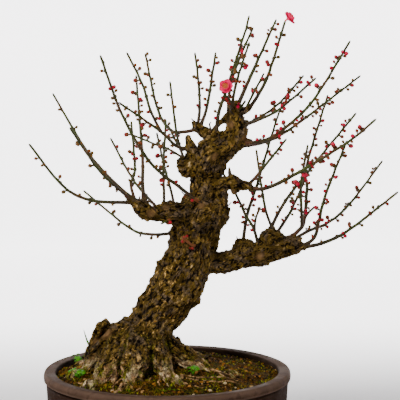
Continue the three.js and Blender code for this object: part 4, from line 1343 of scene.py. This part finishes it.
def moss_material():
    """Moss in patches of olive, yellow green and dry brown."""
    material, tree, place = new_material("moss", 0.8, 0.04)
    tone = coloured_by(tree, stored(tree, "tone"), [
        (0.0, paint(38, 36, 4)), (0.4, paint(78, 76, 8)), (0.75, paint(118, 116, 16)),
        (1.0, paint(190, 180, 54))])
    dry = eased(tree, noise_at(tree, place, 26.0, 4.0), 0.46, 0.62, 0.0, 0.85)
    colour = mixed(tree, dry, tone, paint(118, 80, 26))
    fresh = eased(tree, noise_at(tree, place, 38.0, 3.0), 0.56, 0.7, 0.0, 0.7)
    return painted(material, mixed(tree, fresh, colour, paint(90, 136, 20)))


sprigs = [moss_sprig("sprig_open", 1, 0.8), moss_sprig("sprig_close", 2, 0.45)]
moss_strewing = scatter_tree("strewn_moss", sprigs, moss_material(), ["Height"], upright)


def moss_depth(x, y):
    """How thick moss grows at a place on the soil, 0 to 1: most at the left and round the roots."""
    here = Vector((x, y, 0))
    patch = 0.5 + 1.5 * noise.noise(here / 26 + Vector((3, 1, 0))) + 0.7 * noise.noise(here / 9)
    left = held((20 - x) / 120) * 0.45
    near = max(0.0, 1 - math.hypot(x + 30, y + 20) / 120) * 0.35
    return held(patch + left + near - 0.38)


moss = copy_of(soil, "soil_moss")
moss_bed = [moss_depth((vertex.co.x - POT_X) / MM, vertex.co.y / MM)
            for vertex in moss.data.vertices]
give(moss, "bed", np.array(moss_bed) * np.array(soil_top))
grow(moss, moss_strewing, {"Spacing": 1.6 * MM, "Density": 240000.0, "Height": 2.2 * MM,
                           "Seed": MOSS_SEED})
bark_moss = copy_of(trunk, "bark_moss")
facing = np.zeros(len(trunk.data.vertices) * 3, np.float32)
trunk.data.vertices.foreach_get("normal", facing)
upward = np.clip(facing.reshape(-1, 3)[:, 2] + 0.45, 0, 1)
bark_bed = []
for spot, up in zip(spots_of(trunk), upward):
    low = held((MOSS_TOP - spot[2]) / 26)
    patch = held(0.35 + 2.6 * noise.noise(Vector(spot) / 15))
    bark_bed.append(low * patch * up)
give(bark_moss, "bed", bark_bed)
grow(bark_moss, moss_strewing, {"Spacing": 1.7 * MM, "Density": 190000.0, "Height": 1.7 * MM,
                                "Seed": MOSS_SEED + 1})
for sprig in sprigs:
    bpy.data.objects.remove(sprig)
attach(moss, "root")
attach(bark_moss, "root")


# Shoots
# Last summer's growth, thin and straight, green under a brown skin with small pale pores. Each one
# kinks a little at every bud, and swells into a ring where it leaves the old wood.
SHOOT_TIP_RADIUS = 1.5
BARE_FOOT = 30
BUD_TURN = math.radians(144)
NODE_SWELLING = 0.34
KINK = 0.55
# Shoots with a dried orange foot, and the share of each that is dry
DRY_FEET = {"left_07": 0.1, "spur_01": 1.1, "spur_02": 0.5}
# Dead twigs of earlier years on top of the old branches, all above this height
DRY_TWIGS = 34
DRY_FROM = 290
DRY_SEED = 17


def length_of(line):
    return float(np.sum(np.linalg.norm(np.diff(line, axis=0), axis=1)))


def bud_seats(radius, spacing, line, shift=0.0):
    """Where a line's buds sit: places, outward and forward directions, radius and share along."""
    length = length_of(line)
    clear = min(BARE_FOOT, 0.4 * length)
    seats = []
    for k in range(int((length - clear) / spacing)):
        share = (clear + spacing * (k + shift + 0.5 * spread(k, 0.755))) / length
        if share > 0.98:
            break
        spot = on_line(line, share)
        ahead = on_line(line, min(1.0, share + 0.01)) - on_line(line, max(0.0, share - 0.01))
        ahead /= np.linalg.norm(ahead)
        side = np.cross(ahead, (0.0, 1.0, 0.0))
        side /= np.linalg.norm(side)
        turn = (k + shift + 0.25) * BUD_TURN
        outward = side * math.sin(turn) + np.cross(ahead, side) * math.cos(turn)
        seats.append((spot, outward, ahead, radius + (SHOOT_TIP_RADIUS - radius) * share, share))
    return seats


def twig_line(radius, spacing, line):
    """The wood of one shoot: its line kinked and thickened at each bud, with its thickness."""
    run = np.linspace(0, 1, len(line))
    length = length_of(line)
    path = line.copy()
    thick = SHOOT_TIP_RADIUS + (radius - SHOOT_TIP_RADIUS) * (1 - run) ** 1.3
    thick += 0.9 * np.exp(-run * length / 4.0)
    for _, outward, _, _, share in bud_seats(radius, spacing, line):
        near = np.exp(-((run - share) * length / 3.2) ** 2)
        thick += NODE_SWELLING * np.exp(-((run - share) * length / 1.8) ** 2)
        path += np.outer(near, outward) * KINK
    thick[-1] *= 0.8
    return np.column_stack([path, thick])


def twig_material():
    """Young bark: olive green under brown, greyer at the foot, dotted with pale pores."""
    material, tree, place = new_material("young_bark", 0.6, 0.2)
    age = stored(tree, "age")
    green = mottled(tree, place, 90.0, paint(46, 48, 12), paint(58, 68, 18), paint(38, 28, 10))
    brown = mottled(tree, place, 110.0, paint(42, 31, 14), paint(60, 44, 20), paint(30, 21, 10))
    colour = mixed(tree, eased(tree, age, 0.08, 0.45), brown, green)
    colour = mixed(tree, eased(tree, age, -0.6, -0.3, 0.75, 0.0), colour, paint(132, 80, 42))
    sunny = eased(tree, noise_at(tree, place, 30.0), 0.5, 0.66, 0.0, 0.5)
    colour = mixed(tree, sunny, colour, paint(86, 44, 20))
    pores = eased(tree, cells_at(tree, place, 420.0), 0.12, 0.24, 0.6, 0.0)
    colour = mixed(tree, pores, colour, paint(150, 130, 90))
    return painted(material, colour, grain_height(tree, place, 700.0, 0.4), 0.3)


SIDES_OF_TREE = {side: [name for name in SHOOTS if name.startswith(side)]
                 for side in ("left", "top", "right", "back", "spur")}
twig_strands = strand_tree("twig_strands", twig_material())
for side, names in SIDES_OF_TREE.items():
    twig_lines, ages = [], []
    for name in names:
        for radius, spacing, _, line in lines_of(name):
            twig_lines.append(twig_line(radius, spacing, line))
            share = np.linspace(0, 1, len(line))
            ages.append(np.where(share < DRY_FEET.get(name, 0), -1.0, share))
    twigs = lines_piece(f"twigs_{side}", twig_lines)
    give(twigs, "age", np.concatenate(ages))
    grow(twigs, twig_strands, {"Thickness": 1.08, "Sides": 8})
    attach(twigs, "root")
    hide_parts(*(f"shoot_{name}" for name in names))

draw = np.random.default_rng(DRY_SEED)
old_tops = [vertex for vertex in trunk.data.vertices
            if vertex.co.z > DRY_FROM * MM and vertex.normal.z > 0.1]
dry_lines = []
for pick in draw.choice(len(old_tops), DRY_TWIGS, replace=False):
    foot = np.array(old_tops[pick].co - AXIS) / MM
    aim = np.array(old_tops[pick].normal) + draw.normal(0, 0.3, 3)
    aim *= draw.uniform(6, 14) / np.linalg.norm(aim)
    bend = draw.normal(0, 0.9, 3)
    thick = draw.uniform(0.9, 1.4)
    dry_lines.append(np.array([(*(foot - aim * 0.3), thick + 0.4), (*foot, thick + 0.3),
                               (*(foot + aim * 0.5 + bend), thick), (*(foot + aim), thick * 0.7)]))
dry_twigs = lines_piece("dry_twigs", dry_lines)
give(dry_twigs, "age", np.zeros(len(dry_twigs.data.vertices)))
grow(dry_twigs, twig_strands, {"Thickness": 1.0, "Sides": 6})
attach(dry_twigs, "root")


# Buds
# Round flower buds on short stalks, alone or in pairs, each in a cup of five brown-red sepals over
# a ring of winter scales, and beside some of them a small pointed leaf bud.
BUD_ROUND = 2.75
BUD_MIDDLE = 5.4
BUD_SIZE = 0.97
BUD_SEED = 21


def bud_shape(name, rings, sides, sepals):
    """A closed piece turned round Z from (out, up, part) rings; sepal tips rise between the dips.

    The part is what the skin is there: under 0.1 stalk, 0.2 scales, 0.5 sepals, 1 petals.
    """
    points = [(0, 0, rings[0][1])]
    parts = [rings[0][2]]
    for out, up, part in rings[1:-1]:
        for side in range(sides):
            turn = math.tau * side / sides
            wave = math.cos(sepals * turn)
            fold = 1 + (0.05 * wave if part > 0.7 else 0.0)
            lift = 0.55 * wave if 0.4 < part < 0.7 else 0.0
            points.append((out * fold * math.cos(turn), out * fold * math.sin(turn), up + lift))
            parts.append(part)
    points.append((0, 0, rings[-1][1]))
    parts.append(rings[-1][2])
    faces = ring_faces(len(rings) - 2, sides, 1, 0, len(points) - 1)
    holder = plain_shape(name, points, faces)
    give(holder, "part", parts)
    return holder


def globe(share):
    """Out and up of the petal ball at a share of the way from its foot to its top."""
    turn = math.pi * share
    return BUD_ROUND * math.sin(turn), BUD_MIDDLE - BUD_ROUND * 1.04 * math.cos(turn)


flower_bud = bud_shape("flower_bud", [
    (0, -0.8, 0.0), (0.75, -0.6, 0.0), (0.62, 1.0, 0.0), (1.25, 1.3, 0.2), (1.35, 1.9, 0.2),
    (0.85, 2.3, 0.2), (1.9, 3.0, 0.5), (2.65, 4.1, 0.5), (2.95, 5.0, 0.6), (2.62, 5.15, 1.0),
    (*globe(0.62), 1.0), (*globe(0.76), 1.0), (*globe(0.89), 1.0),
    (0, globe(1.0)[1] + 0.15, 1.0)], 10, 5)
leaf_bud = bud_shape("leaf_bud", [
    (0, -0.8, 0.0), (1.0, -0.5, 0.2), (1.15, 0.8, 0.2), (0.95, 1.8, 0.3), (0.5, 3.1, 0.3),
    (0, 4.2, 0.3)], 6, 3)


def bud_tree(shapes, material):
    """Puts a bud on each point, aimed and sized as the mesh holds, its kind picked by number."""
    tree, given = new_tree("seated_buds", ["Size"])
    heaps = []
    for number, shape in enumerate(shapes):
        chosen = wire(tree, "FunctionNodeCompare", (read(tree, "kind"), float(number), 0.1),
                      operation="EQUAL")
        facing = wire(tree, "FunctionNodeAlignRotationToVector",
                      {"Vector": read(tree, "aim", "FLOAT_VECTOR")}, axis="Z")
        size = times(tree, read(tree, "size"), given["Size"])
        heaps.append(copies_on(tree, given["Geometry"], chosen, shape, spun(tree, facing, 9), size))
    return finish_tree(tree, joined(tree, heaps), material)


def bud_material():
    """Buds by ripeness, from olive brown to crimson, over brown sepals, scales and green stalks."""
    material, tree, place = new_material("flower_buds", 0.6, 0.2)
    ripe, part = stored(tree, "ripe"), stored(tree, "part")
    petals = coloured_by(tree, ripe, [
        (0.0, paint(98, 66, 14)), (0.25, paint(116, 58, 18)), (0.42, paint(126, 26, 16)),
        (0.6, paint(140, 0, 20)), (0.8, paint(170, 0, 38)), (1.0, paint(200, 0, 60))])
    sepal = coloured_by(tree, ripe, [
        (0.0, paint(82, 64, 16)), (0.5, paint(102, 54, 18)), (1.0, paint(112, 26, 16))])
    streaks = eased(tree, noise_at(tree, place, 900.0, 3.0), 0.35, 0.65, 0.0, 0.45)
    petals = mixed(tree, streaks, petals, mixed(tree, 0.45, petals, paint(60, 0, 4)))
    low = mixed(tree, eased(tree, part, 0.1, 0.2), paint(96, 84, 34), paint(72, 42, 22))
    low = mixed(tree, eased(tree, part, 0.3, 0.45), low, sepal)
    colour = mixed(tree, eased(tree, part, 0.62, 0.85), low, petals)
    return painted(material, colour, grain_height(tree, place, 800.0, 0.3), 0.2)


def seat(place, aim, size, ripe, kind):
    """One bud: its place in mm, unit aim, size in metres, ripeness and kind, 0 flower or 1 leaf."""
    return tuple(place), np.array(aim) / np.linalg.norm(aim), size * MM, held(ripe), kind


def seats_on(draw, radius, spacing, ripe, line):
    """The buds of one line: a flower bud at each node, often with a twin, and some in between."""
    seats = []
    for spot, outward, ahead, here, share in bud_seats(radius, spacing, line, 0.5):
        if draw.random() < 0.1 + 0.85 * ripe:
            own = ripe + draw.uniform(-0.75, 0.15)
            seats.append(seat(spot + outward * here * 0.8, outward + 0.5 * ahead,
                              draw.uniform(0.65, 0.9), own, 0))
    for k, (spot, outward, ahead, here, share) in enumerate(bud_seats(radius, spacing, line)):
        own = ripe + draw.uniform(-0.75, 0.25) + 0.15 * (share - 0.5)
        size = (0.8 + 0.35 * spread(k)) * (0.88 + 0.2 * own)
        base = spot + outward * (KINK + here * 0.75)
        seats.append(seat(base, outward + 0.45 * ahead, size, own, 0))
        beside = np.cross(ahead, outward)
        turn = draw.uniform(0.75, 1.25) * (1 if k % 2 else -1)
        twin = outward * math.cos(turn) + beside * math.sin(turn)
        twin_base = spot + outward * KINK + twin * here * 0.75
        if draw.random() < 0.25 + 0.5 * ripe:
            seats.append(seat(twin_base, twin + 0.4 * ahead, size * draw.uniform(0.7, 0.95),
                              own + draw.uniform(-0.2, 0.1), 0))
        elif draw.random() < 0.6:
            seats.append(seat(twin_base, twin + 0.9 * ahead, draw.uniform(0.6, 0.9), own, 1))
    return seats


bud_growth = bud_tree([flower_bud, leaf_bud], bud_material())
draw = np.random.default_rng(BUD_SEED)
for side, names in SIDES_OF_TREE.items():
    seats = []
    for name in names:
        for radius, spacing, ripe, line in lines_of(name):
            seats += seats_on(draw, radius, spacing, ripe, line)
            if name != "top_07":
                ahead = line[-1] - line[-2]
                seats.append(seat(line[-1] - ahead / np.linalg.norm(ahead), ahead, 0.65, ripe, 1))
    places, aims, sizes, ripeness, kinds = zip(*seats)
    buds = new_piece(f"buds_{side}", places)
    give(buds, "aim", aims, "FLOAT_VECTOR")
    give(buds, "size", sizes)
    give(buds, "ripe", ripeness)
    give(buds, "kind", kinds)
    grow(buds, bud_growth, {"Size": BUD_SIZE})
    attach(buds, "root")
    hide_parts(*(f"shoot_{name}" for name in names))
bpy.data.objects.remove(flower_bud)
bpy.data.objects.remove(leaf_bud)


# Blossoms
# Two flowers already open, each with two rings of five cupped petals, a brush of thin stamens with
# yellow heads, and a round cup of sepals behind. A short stalk holds each on its shoot.
PETAL_CELLS = 8
PETAL_FOOT = 1.1
SHEET_THICKNESS = 0.3
# The two rings of petals: length, cup, tilt upwards and height on the stalk
PETAL_RINGS = [(9.6, 1.8, 0.1, 5.2), (7.4, 2.6, 0.55, 5.6)]
STAMENS = 30
STAMEN_FOOT = Vector((0, 0, 5.4))
STAMEN_SEED = 5
GOLDEN_TURN = 2.39996
# The stalk and the cup of sepals behind the petals: height and radius
STALK = [(0, 1.3), (1.8, 1.3), (2.4, 1.0), (3.2, 1.7), (4.4, 2.6), (5.4, 2.9), (6.0, 2.2)]
# Which node, which shoot, how far along it, distance out to the flower's foot, and where it faces
BLOOMS = [("bloom_top", "top_03", 0.43, 2.9, (-0.25, -0.95, 0.2)),
          ("bloom_tip", "top_07", 1.0, 1.3, (0.75, -0.4, 0.55))]


def petal_material(name, inner, outer, vein):
    """Petal skin that turns from one colour at its foot to another, with faint veins that fan out.
    """
    material, tree, _ = new_material(name, 0.6, 0.1)
    reach = stored(tree, "reach")
    across = times(tree, stored(tree, "across"), 14.0)
    colour = mixed(tree, eased(tree, reach, 0.0, 0.8), inner, outer)
    fan = wire(tree, "ShaderNodeCombineXYZ", (across, reach, 0.0))
    veins = eased(tree, noise_at(tree, fan, 1.6, 2.0), 0.42, 0.6, 0.0, 0.55)
    return painted(material, mixed(tree, veins, colour, vein), noise_at(tree, fan, 2.0, 3.0), 0.4)


def sheet_of(rows, columns, spot_at):
    """Points, shares and faces of a leaf or petal; each spot follows its share along and across."""
    shares = [(row / rows, 2 * column / columns - 1)
              for row in range(rows + 1) for column in range(columns + 1)]
    faces = []
    for row in range(rows):
        for column in range(columns):
            corner = row * (columns + 1) + column
            faces.append((corner, corner + columns + 1, corner + columns + 2, corner + 1))
    return [spot_at(reach, across) for reach, across in shares], shares, faces


def petal_sheet(length, cup, turn, tilt, foot_up):
    """One petal round Z."""
    def spot_at(reach, across):
        half = 0.53 * length * math.sin(math.pi * min(1.0, 0.12 + 0.86 * reach) ** 1.1) ** 0.6
        dent = 0.06 * length * math.exp(-(across / 0.25) ** 2) * reach ** 4
        out = length * reach * (1 - 0.1 * across * across) - dent
        rise = cup * (across * across * 0.7 + reach * reach * 0.8)
        ripple = 0.22 * math.sin(5 * across + 3 * turn) * reach
        spot = Vector((out, (half + 0.35) * across, rise + ripple))
        spot = Matrix.Rotation(-tilt, 3, "Y") @ spot + Vector((PETAL_FOOT, 0, foot_up))
        return Matrix.Rotation(turn, 3, "Z") @ spot
    return sheet_of(PETAL_CELLS, PETAL_CELLS, spot_at)


def sheets_piece(name, sheets, material):
    """One closed thin piece from sheets of points, shares and faces."""
    points, shares, faces = [], [], []
    for sheet_points, sheet_shares, sheet_faces in sheets:
        faces += [tuple(len(points) + corner for corner in face) for face in sheet_faces]
        points += [tuple(point) for point in sheet_points]
        shares += sheet_shares
    piece = new_piece(name, points, faces)
    give(piece, "reach", [share[0] for share in shares])
    give(piece, "across", [share[1] for share in shares])
    thicken = piece.modifiers.new("thickness", "SOLIDIFY")
    thicken.thickness = SHEET_THICKNESS * MM
    thicken.offset = 0
    make_plain(piece)
    smooth_faces(piece)
    piece.data.materials.append(material)
    return piece


petal_skin = petal_material("petal_skin", paint(185, 0, 44), paint(255, 0, 108), paint(220, 0, 72))
stamen_skin = petal_material("stamen_skin", paint(212, 60, 98), paint(236, 196, 92),
                             paint(222, 150, 60))
for node, shoot, along, seat_out, faces_to in BLOOMS:
    line = lines_of(shoot)[0][3]
    facing = Vector(faces_to).normalized()
    spot = Vector(on_line(line, along)) + facing * (seat_out - 1.5)
    turn = facing.to_track_quat("Z", "Y").to_matrix()
    sheets = []
    for ring, (length, cup, tilt, up) in enumerate(PETAL_RINGS):
        for petal in range(5):
            around = math.tau * (petal + 0.5 * ring) / 5
            points, shares, faces = petal_sheet(length, cup, around, tilt, up)
            sheets.append(([turn @ point + spot for point in points], shares, faces))
    petals = sheets_piece(f"{node}_petals", sheets, petal_skin)

    threads, thread_reach = [], []
    draw = np.random.default_rng(STAMEN_SEED)
    for stamen in range(STAMENS):
        lean = 0.95 * math.sqrt((stamen + 0.5) / STAMENS)
        around = GOLDEN_TURN * stamen
        tall = draw.uniform(4.6, 6.4)
        tip = Vector((math.sin(lean) * math.cos(around), math.sin(lean) * math.sin(around),
                      math.cos(lean))) * tall
        path = [STAMEN_FOOT, STAMEN_FOOT + tip * 0.5 + Vector((0, 0, 0.5)), STAMEN_FOOT + tip]
        line = smooth_line([tuple(turn @ stop + spot) for stop in path], tall / 7)
        share = np.linspace(0, 1, len(line))
        threads.append(np.column_stack([line, np.where(share > 0.86, 0.42, 0.16)]))
        thread_reach.append(np.where(share > 0.8, 1.0, 0.0))
    threads.append(np.array([(*(turn @ Vector((0, 0, up)) + spot), thick) for up, thick in STALK]))
    thread_reach.append(np.full(len(STALK), -1.0))
    brush = lines_piece(f"{node}_stamens", threads)
    give(brush, "reach", np.concatenate(thread_reach))
    give(brush, "across", np.zeros(len(brush.data.vertices)))
    grow(brush, strand_tree("stamen_threads", stamen_skin), {"Thickness": 1.0, "Sides": 6})
    for piece in (petals, brush):
        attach(piece, "root")
        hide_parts(node)


# Weeds
# Wood sorrel with leaves of three folded hearts on thin stalks, and a young blade of grass. Both
# have seeded themselves in the moss at the foot of the tree.
LEAF_SIZE = 6.6
LEAF_CELLS = 6
LEAF_DROOP = 0.1
LEAF_FOLD = 0.35
# Node, place on the soil, number of leaves, reach, and turn of the first leaf
SORREL = [("sorrel_back", -129, 58, 3, 15, 0.3), ("sorrel_front", -120, -44, 3, 13, 1.1),
          ("sorrel_right", 36, -48, 2, 11, 2.0)]
# Two blades of grass: place on the soil and size; then the route of a blade of size 1 from there
GRASS = [(-104, 72, 1.0), (-101, 70, 0.6)]
GRASS_ROUTE = [(0, 0, -6), (-3, -1, 4), (-14, -5, 25), (-20, -9, 46)]


def leaf_material():
    """Fresh leaf green, lighter along the fold, with fine side veins."""
    material, tree, place = new_material("weed_leaf", 0.55, 0.15)
    from_fold = maths(tree, "ABSOLUTE", stored(tree, "across"))
    green = mottled(tree, place, 120.0, paint(70, 146, 10), paint(96, 176, 16), paint(48, 112, 8))
    green = mixed(tree, eased(tree, from_fold, 0.0, 0.14, 0.7, 0.0), green, paint(138, 200, 50))
    slant = maths(tree, "SUBTRACT", stored(tree, "reach"), times(tree, from_fold, 0.5))
    ribs = maths(tree, "SINE", times(tree, slant, 44.0))
    green = mixed(tree, eased(tree, ribs, 0.5, 1.0, 0.0, 0.35), green, paint(56, 112, 22))
    return painted(material, green, ribs, 0.15)


def heart(length, turn):
    """One heart-shaped leaflet that starts at the origin."""
    def spot_at(reach, across):
        wide = length * 0.55 * math.sin(math.pi * min(0.5, 0.08 + 0.44 * reach)) ** 1.2
        notch = 0.24 * length * (1 - abs(across)) ** 1.5 * reach ** 3
        round_end = 0.3 * length * across ** 4 * reach
        spot = Vector((length * reach - notch - round_end, wide * across,
                       abs(across) * LEAF_FOLD * wide - 0.12 * length * reach * reach))
        return Matrix.Rotation(turn, 3, "Z") @ (Matrix.Rotation(LEAF_DROOP, 3, "Y") @ spot)
    return sheet_of(LEAF_CELLS, LEAF_CELLS, spot_at)


def blade(path, size):
    """One blade of grass along a path, folded along its middle and narrowing to its tip."""
    def spot_at(reach, across):
        wide = 2.0 * size * (1 - reach ** 2.5) + 0.3
        off = Vector((0.8 * wide * across, 0.5 * wide * across, 0.5 * wide * abs(across)))
        return Vector(path[round(reach * (len(path) - 1))]) + off
    return sheet_of(len(path) - 1, 4, spot_at)


leaf_skin = leaf_material()
stalk_strands = strand_tree("leaf_stalks", leaf_skin)
for node, x, y, leaves, reach, first_turn in SORREL:
    foot = Vector((x, y, soil_height(x, y)))
    sheets, stalks = [], []
    for leaf in range(2 * leaves):
        small = 1.0 if leaf < leaves else 0.55
        turn = first_turn + leaf * math.tau / leaves + (0 if leaf < leaves else 1.0)
        height = reach * (0.75 + 0.3 * spread(leaf)) * small
        out = level(turn)
        stops = [foot + Vector((0, 0, up)) + out * away for up, away in (
            (-1.5, 0), (1.2, 0.5), (0.6 * height, 0.35 * reach * small),
            (height, 0.65 * reach * small))]
        stalk = smooth_line([tuple(stop) for stop in stops], 1.6)
        stalks.append(np.column_stack([stalk, np.linspace(0.7, 0.4, len(stalk))]))
        crown = Vector(stalk[-1])
        lean = Matrix.Rotation(0.4, 3, Vector((-out.y, out.x, 0)))
        for leaflet in range(3):
            points, shares, faces = heart(LEAF_SIZE * small, turn + 0.5 + leaflet * math.tau / 3)
            sheets.append(([lean @ point + crown for point in points], shares, faces))
    hearts = sheets_piece(f"{node}_leaves", sheets, leaf_skin)
    stems = lines_piece(f"{node}_stalks", stalks)
    give(stems, "reach", np.zeros(len(stems.data.vertices)))
    give(stems, "across", np.ones(len(stems.data.vertices)))
    grow(stems, stalk_strands, {"Thickness": 1.0, "Sides": 6})
    for piece in (hearts, stems):
        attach(piece, "root")
        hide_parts(node)

grass_sheets = []
for x, y, size in GRASS:
    ground = soil_height(x, y)
    route = [(x + size * dx, y + size * dy, ground + size * dz) for dx, dy, dz in GRASS_ROUTE]
    grass_sheets.append(blade(smooth_line(route, 2.0), size))
grass = sheets_piece("grass_blades", grass_sheets, leaf_skin)
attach(grass, "root")
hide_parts("grass_blade")


# Stage
# A plain pale floor that curves up into a pale wall all round, near behind the tree and far at the
# sides, lit from behind itself, with one soft lamp at the upper left and a weak one at the right.
CAMERA_PLACE = (45.4, -1522, 443.4)
CAMERA_PITCH = 3.6
CAMERA_LENS = 99
FLOOR_SIDES = 96
FLOOR_BEND = 900
FLOOR_TALL = 3200
FLOOR_NEAR, FLOOR_FAR = 2700, 8000
BACK_GLOW = 3.4
SIDE_GLOW = 0.26
# Degrees from straight behind over which the wall leaves its near place, and its glow fades
WALL_TURN = (30, 62)
GLOW_TURN = (45, 75)
# Distances over which the glow comes up behind the tree, and at its sides
BACK_GLOW_FROM = (100, 1100)
SIDE_GLOW_FROM = (900, 3500)
FLAT_RINGS = 24
BEND_RINGS = 12
SKY_COLOUR = (0.96, 0.95, 0.94, 1.0)
SKY_STRENGTH = 0.05
# Soft boxes: name, place and what it faces in mm, width in metres, watts and colour
LAMPS = [("key_light", (-900, -1300, 1900), (20, 0, 300), 0.7, 54, (1.0, 0.97, 0.93)),
         ("fill_light", (1600, -1500, 900), (20, 0, 250), 1.6, 3, (1.0, 0.99, 0.98))]

floor_points, glow = [(0, 0, 0)], [0.0]
for side in range(FLOOR_SIDES):
    turn = math.tau * side / FLOOR_SIDES
    off_back = abs(math.degrees(math.atan2(math.cos(turn), math.sin(turn))))
    at_back = 1 - ramp(off_back, *WALL_TURN)
    flat = FLOOR_FAR + (FLOOR_NEAR - FLOOR_FAR) * at_back
    profile = [(flat * (ring / FLAT_RINGS) ** 1.6, 0) for ring in range(1, FLAT_RINGS + 1)]
    profile += [(flat + FLOOR_BEND * math.sin(bend), FLOOR_BEND * (1 - math.cos(bend)))
                for bend in np.linspace(0.1, math.pi / 2, BEND_RINGS)]
    profile += [(flat + FLOOR_BEND, FLOOR_TALL)]
    for out, up in profile:
        x, y = out * math.cos(turn), out * math.sin(turn)
        floor_points.append((x, y, up))
        behind = ramp(y, *BACK_GLOW_FROM) * (1 - ramp(off_back, *GLOW_TURN))
        glow.append(max(behind, SIDE_GLOW * ramp(out, *SIDE_GLOW_FROM)))
rings = len(profile)
floor_faces = []
for side in range(FLOOR_SIDES):
    this, other = 1 + side * rings, 1 + (side + 1) % FLOOR_SIDES * rings
    floor_faces.append((0, this, other))
    for ring in range(rings - 1):
        floor_faces.append((this + ring, this + ring + 1, other + ring + 1, other + ring))
floor = new_piece("pale_floor", floor_points, floor_faces)
give(floor, "glow", glow)
smooth_faces(floor)
paper, tree, place = new_material("pale_paper", 0.9, 0.1)
shade = mottled(tree, place, 1.4, paint(232, 230, 231), paint(228, 227, 230), paint(234, 232, 232))
shining = mixed(tree, stored(tree, "glow"), paint(0, 0, 0), (1.0, 0.985, 0.99, 1.0))
painted(paper, shade, **{"Emission Color": shining})
tree.nodes["Principled BSDF"].inputs["Emission Strength"].default_value = BACK_GLOW
floor.data.materials.append(paper)

for name, place, aim, size, power, colour in LAMPS:
    light = bpy.data.lights.new(name, "AREA")
    light.size = size
    light.energy = power
    light.color = colour
    lamp = shown(name, light)
    lamp.location = AXIS + Vector(place) * MM
    lamp.rotation_euler = (Vector(aim) - Vector(place)).to_track_quat("-Z", "Y").to_euler()
world = bpy.data.worlds.new("pale_sky")
world.use_nodes = True
sky = world.node_tree.nodes["Background"]
sky.inputs["Color"].default_value = SKY_COLOUR
sky.inputs["Strength"].default_value = SKY_STRENGTH
bpy.context.scene.world = world

lens = bpy.data.cameras.new("camera")
lens.lens = CAMERA_LENS
lens.clip_end = 30
camera = shown("camera", lens)
camera.location = AXIS + Vector(CAMERA_PLACE) * MM
camera.rotation_euler = (math.radians(90 - CAMERA_PITCH), 0, 0)
bpy.context.scene.camera = camera
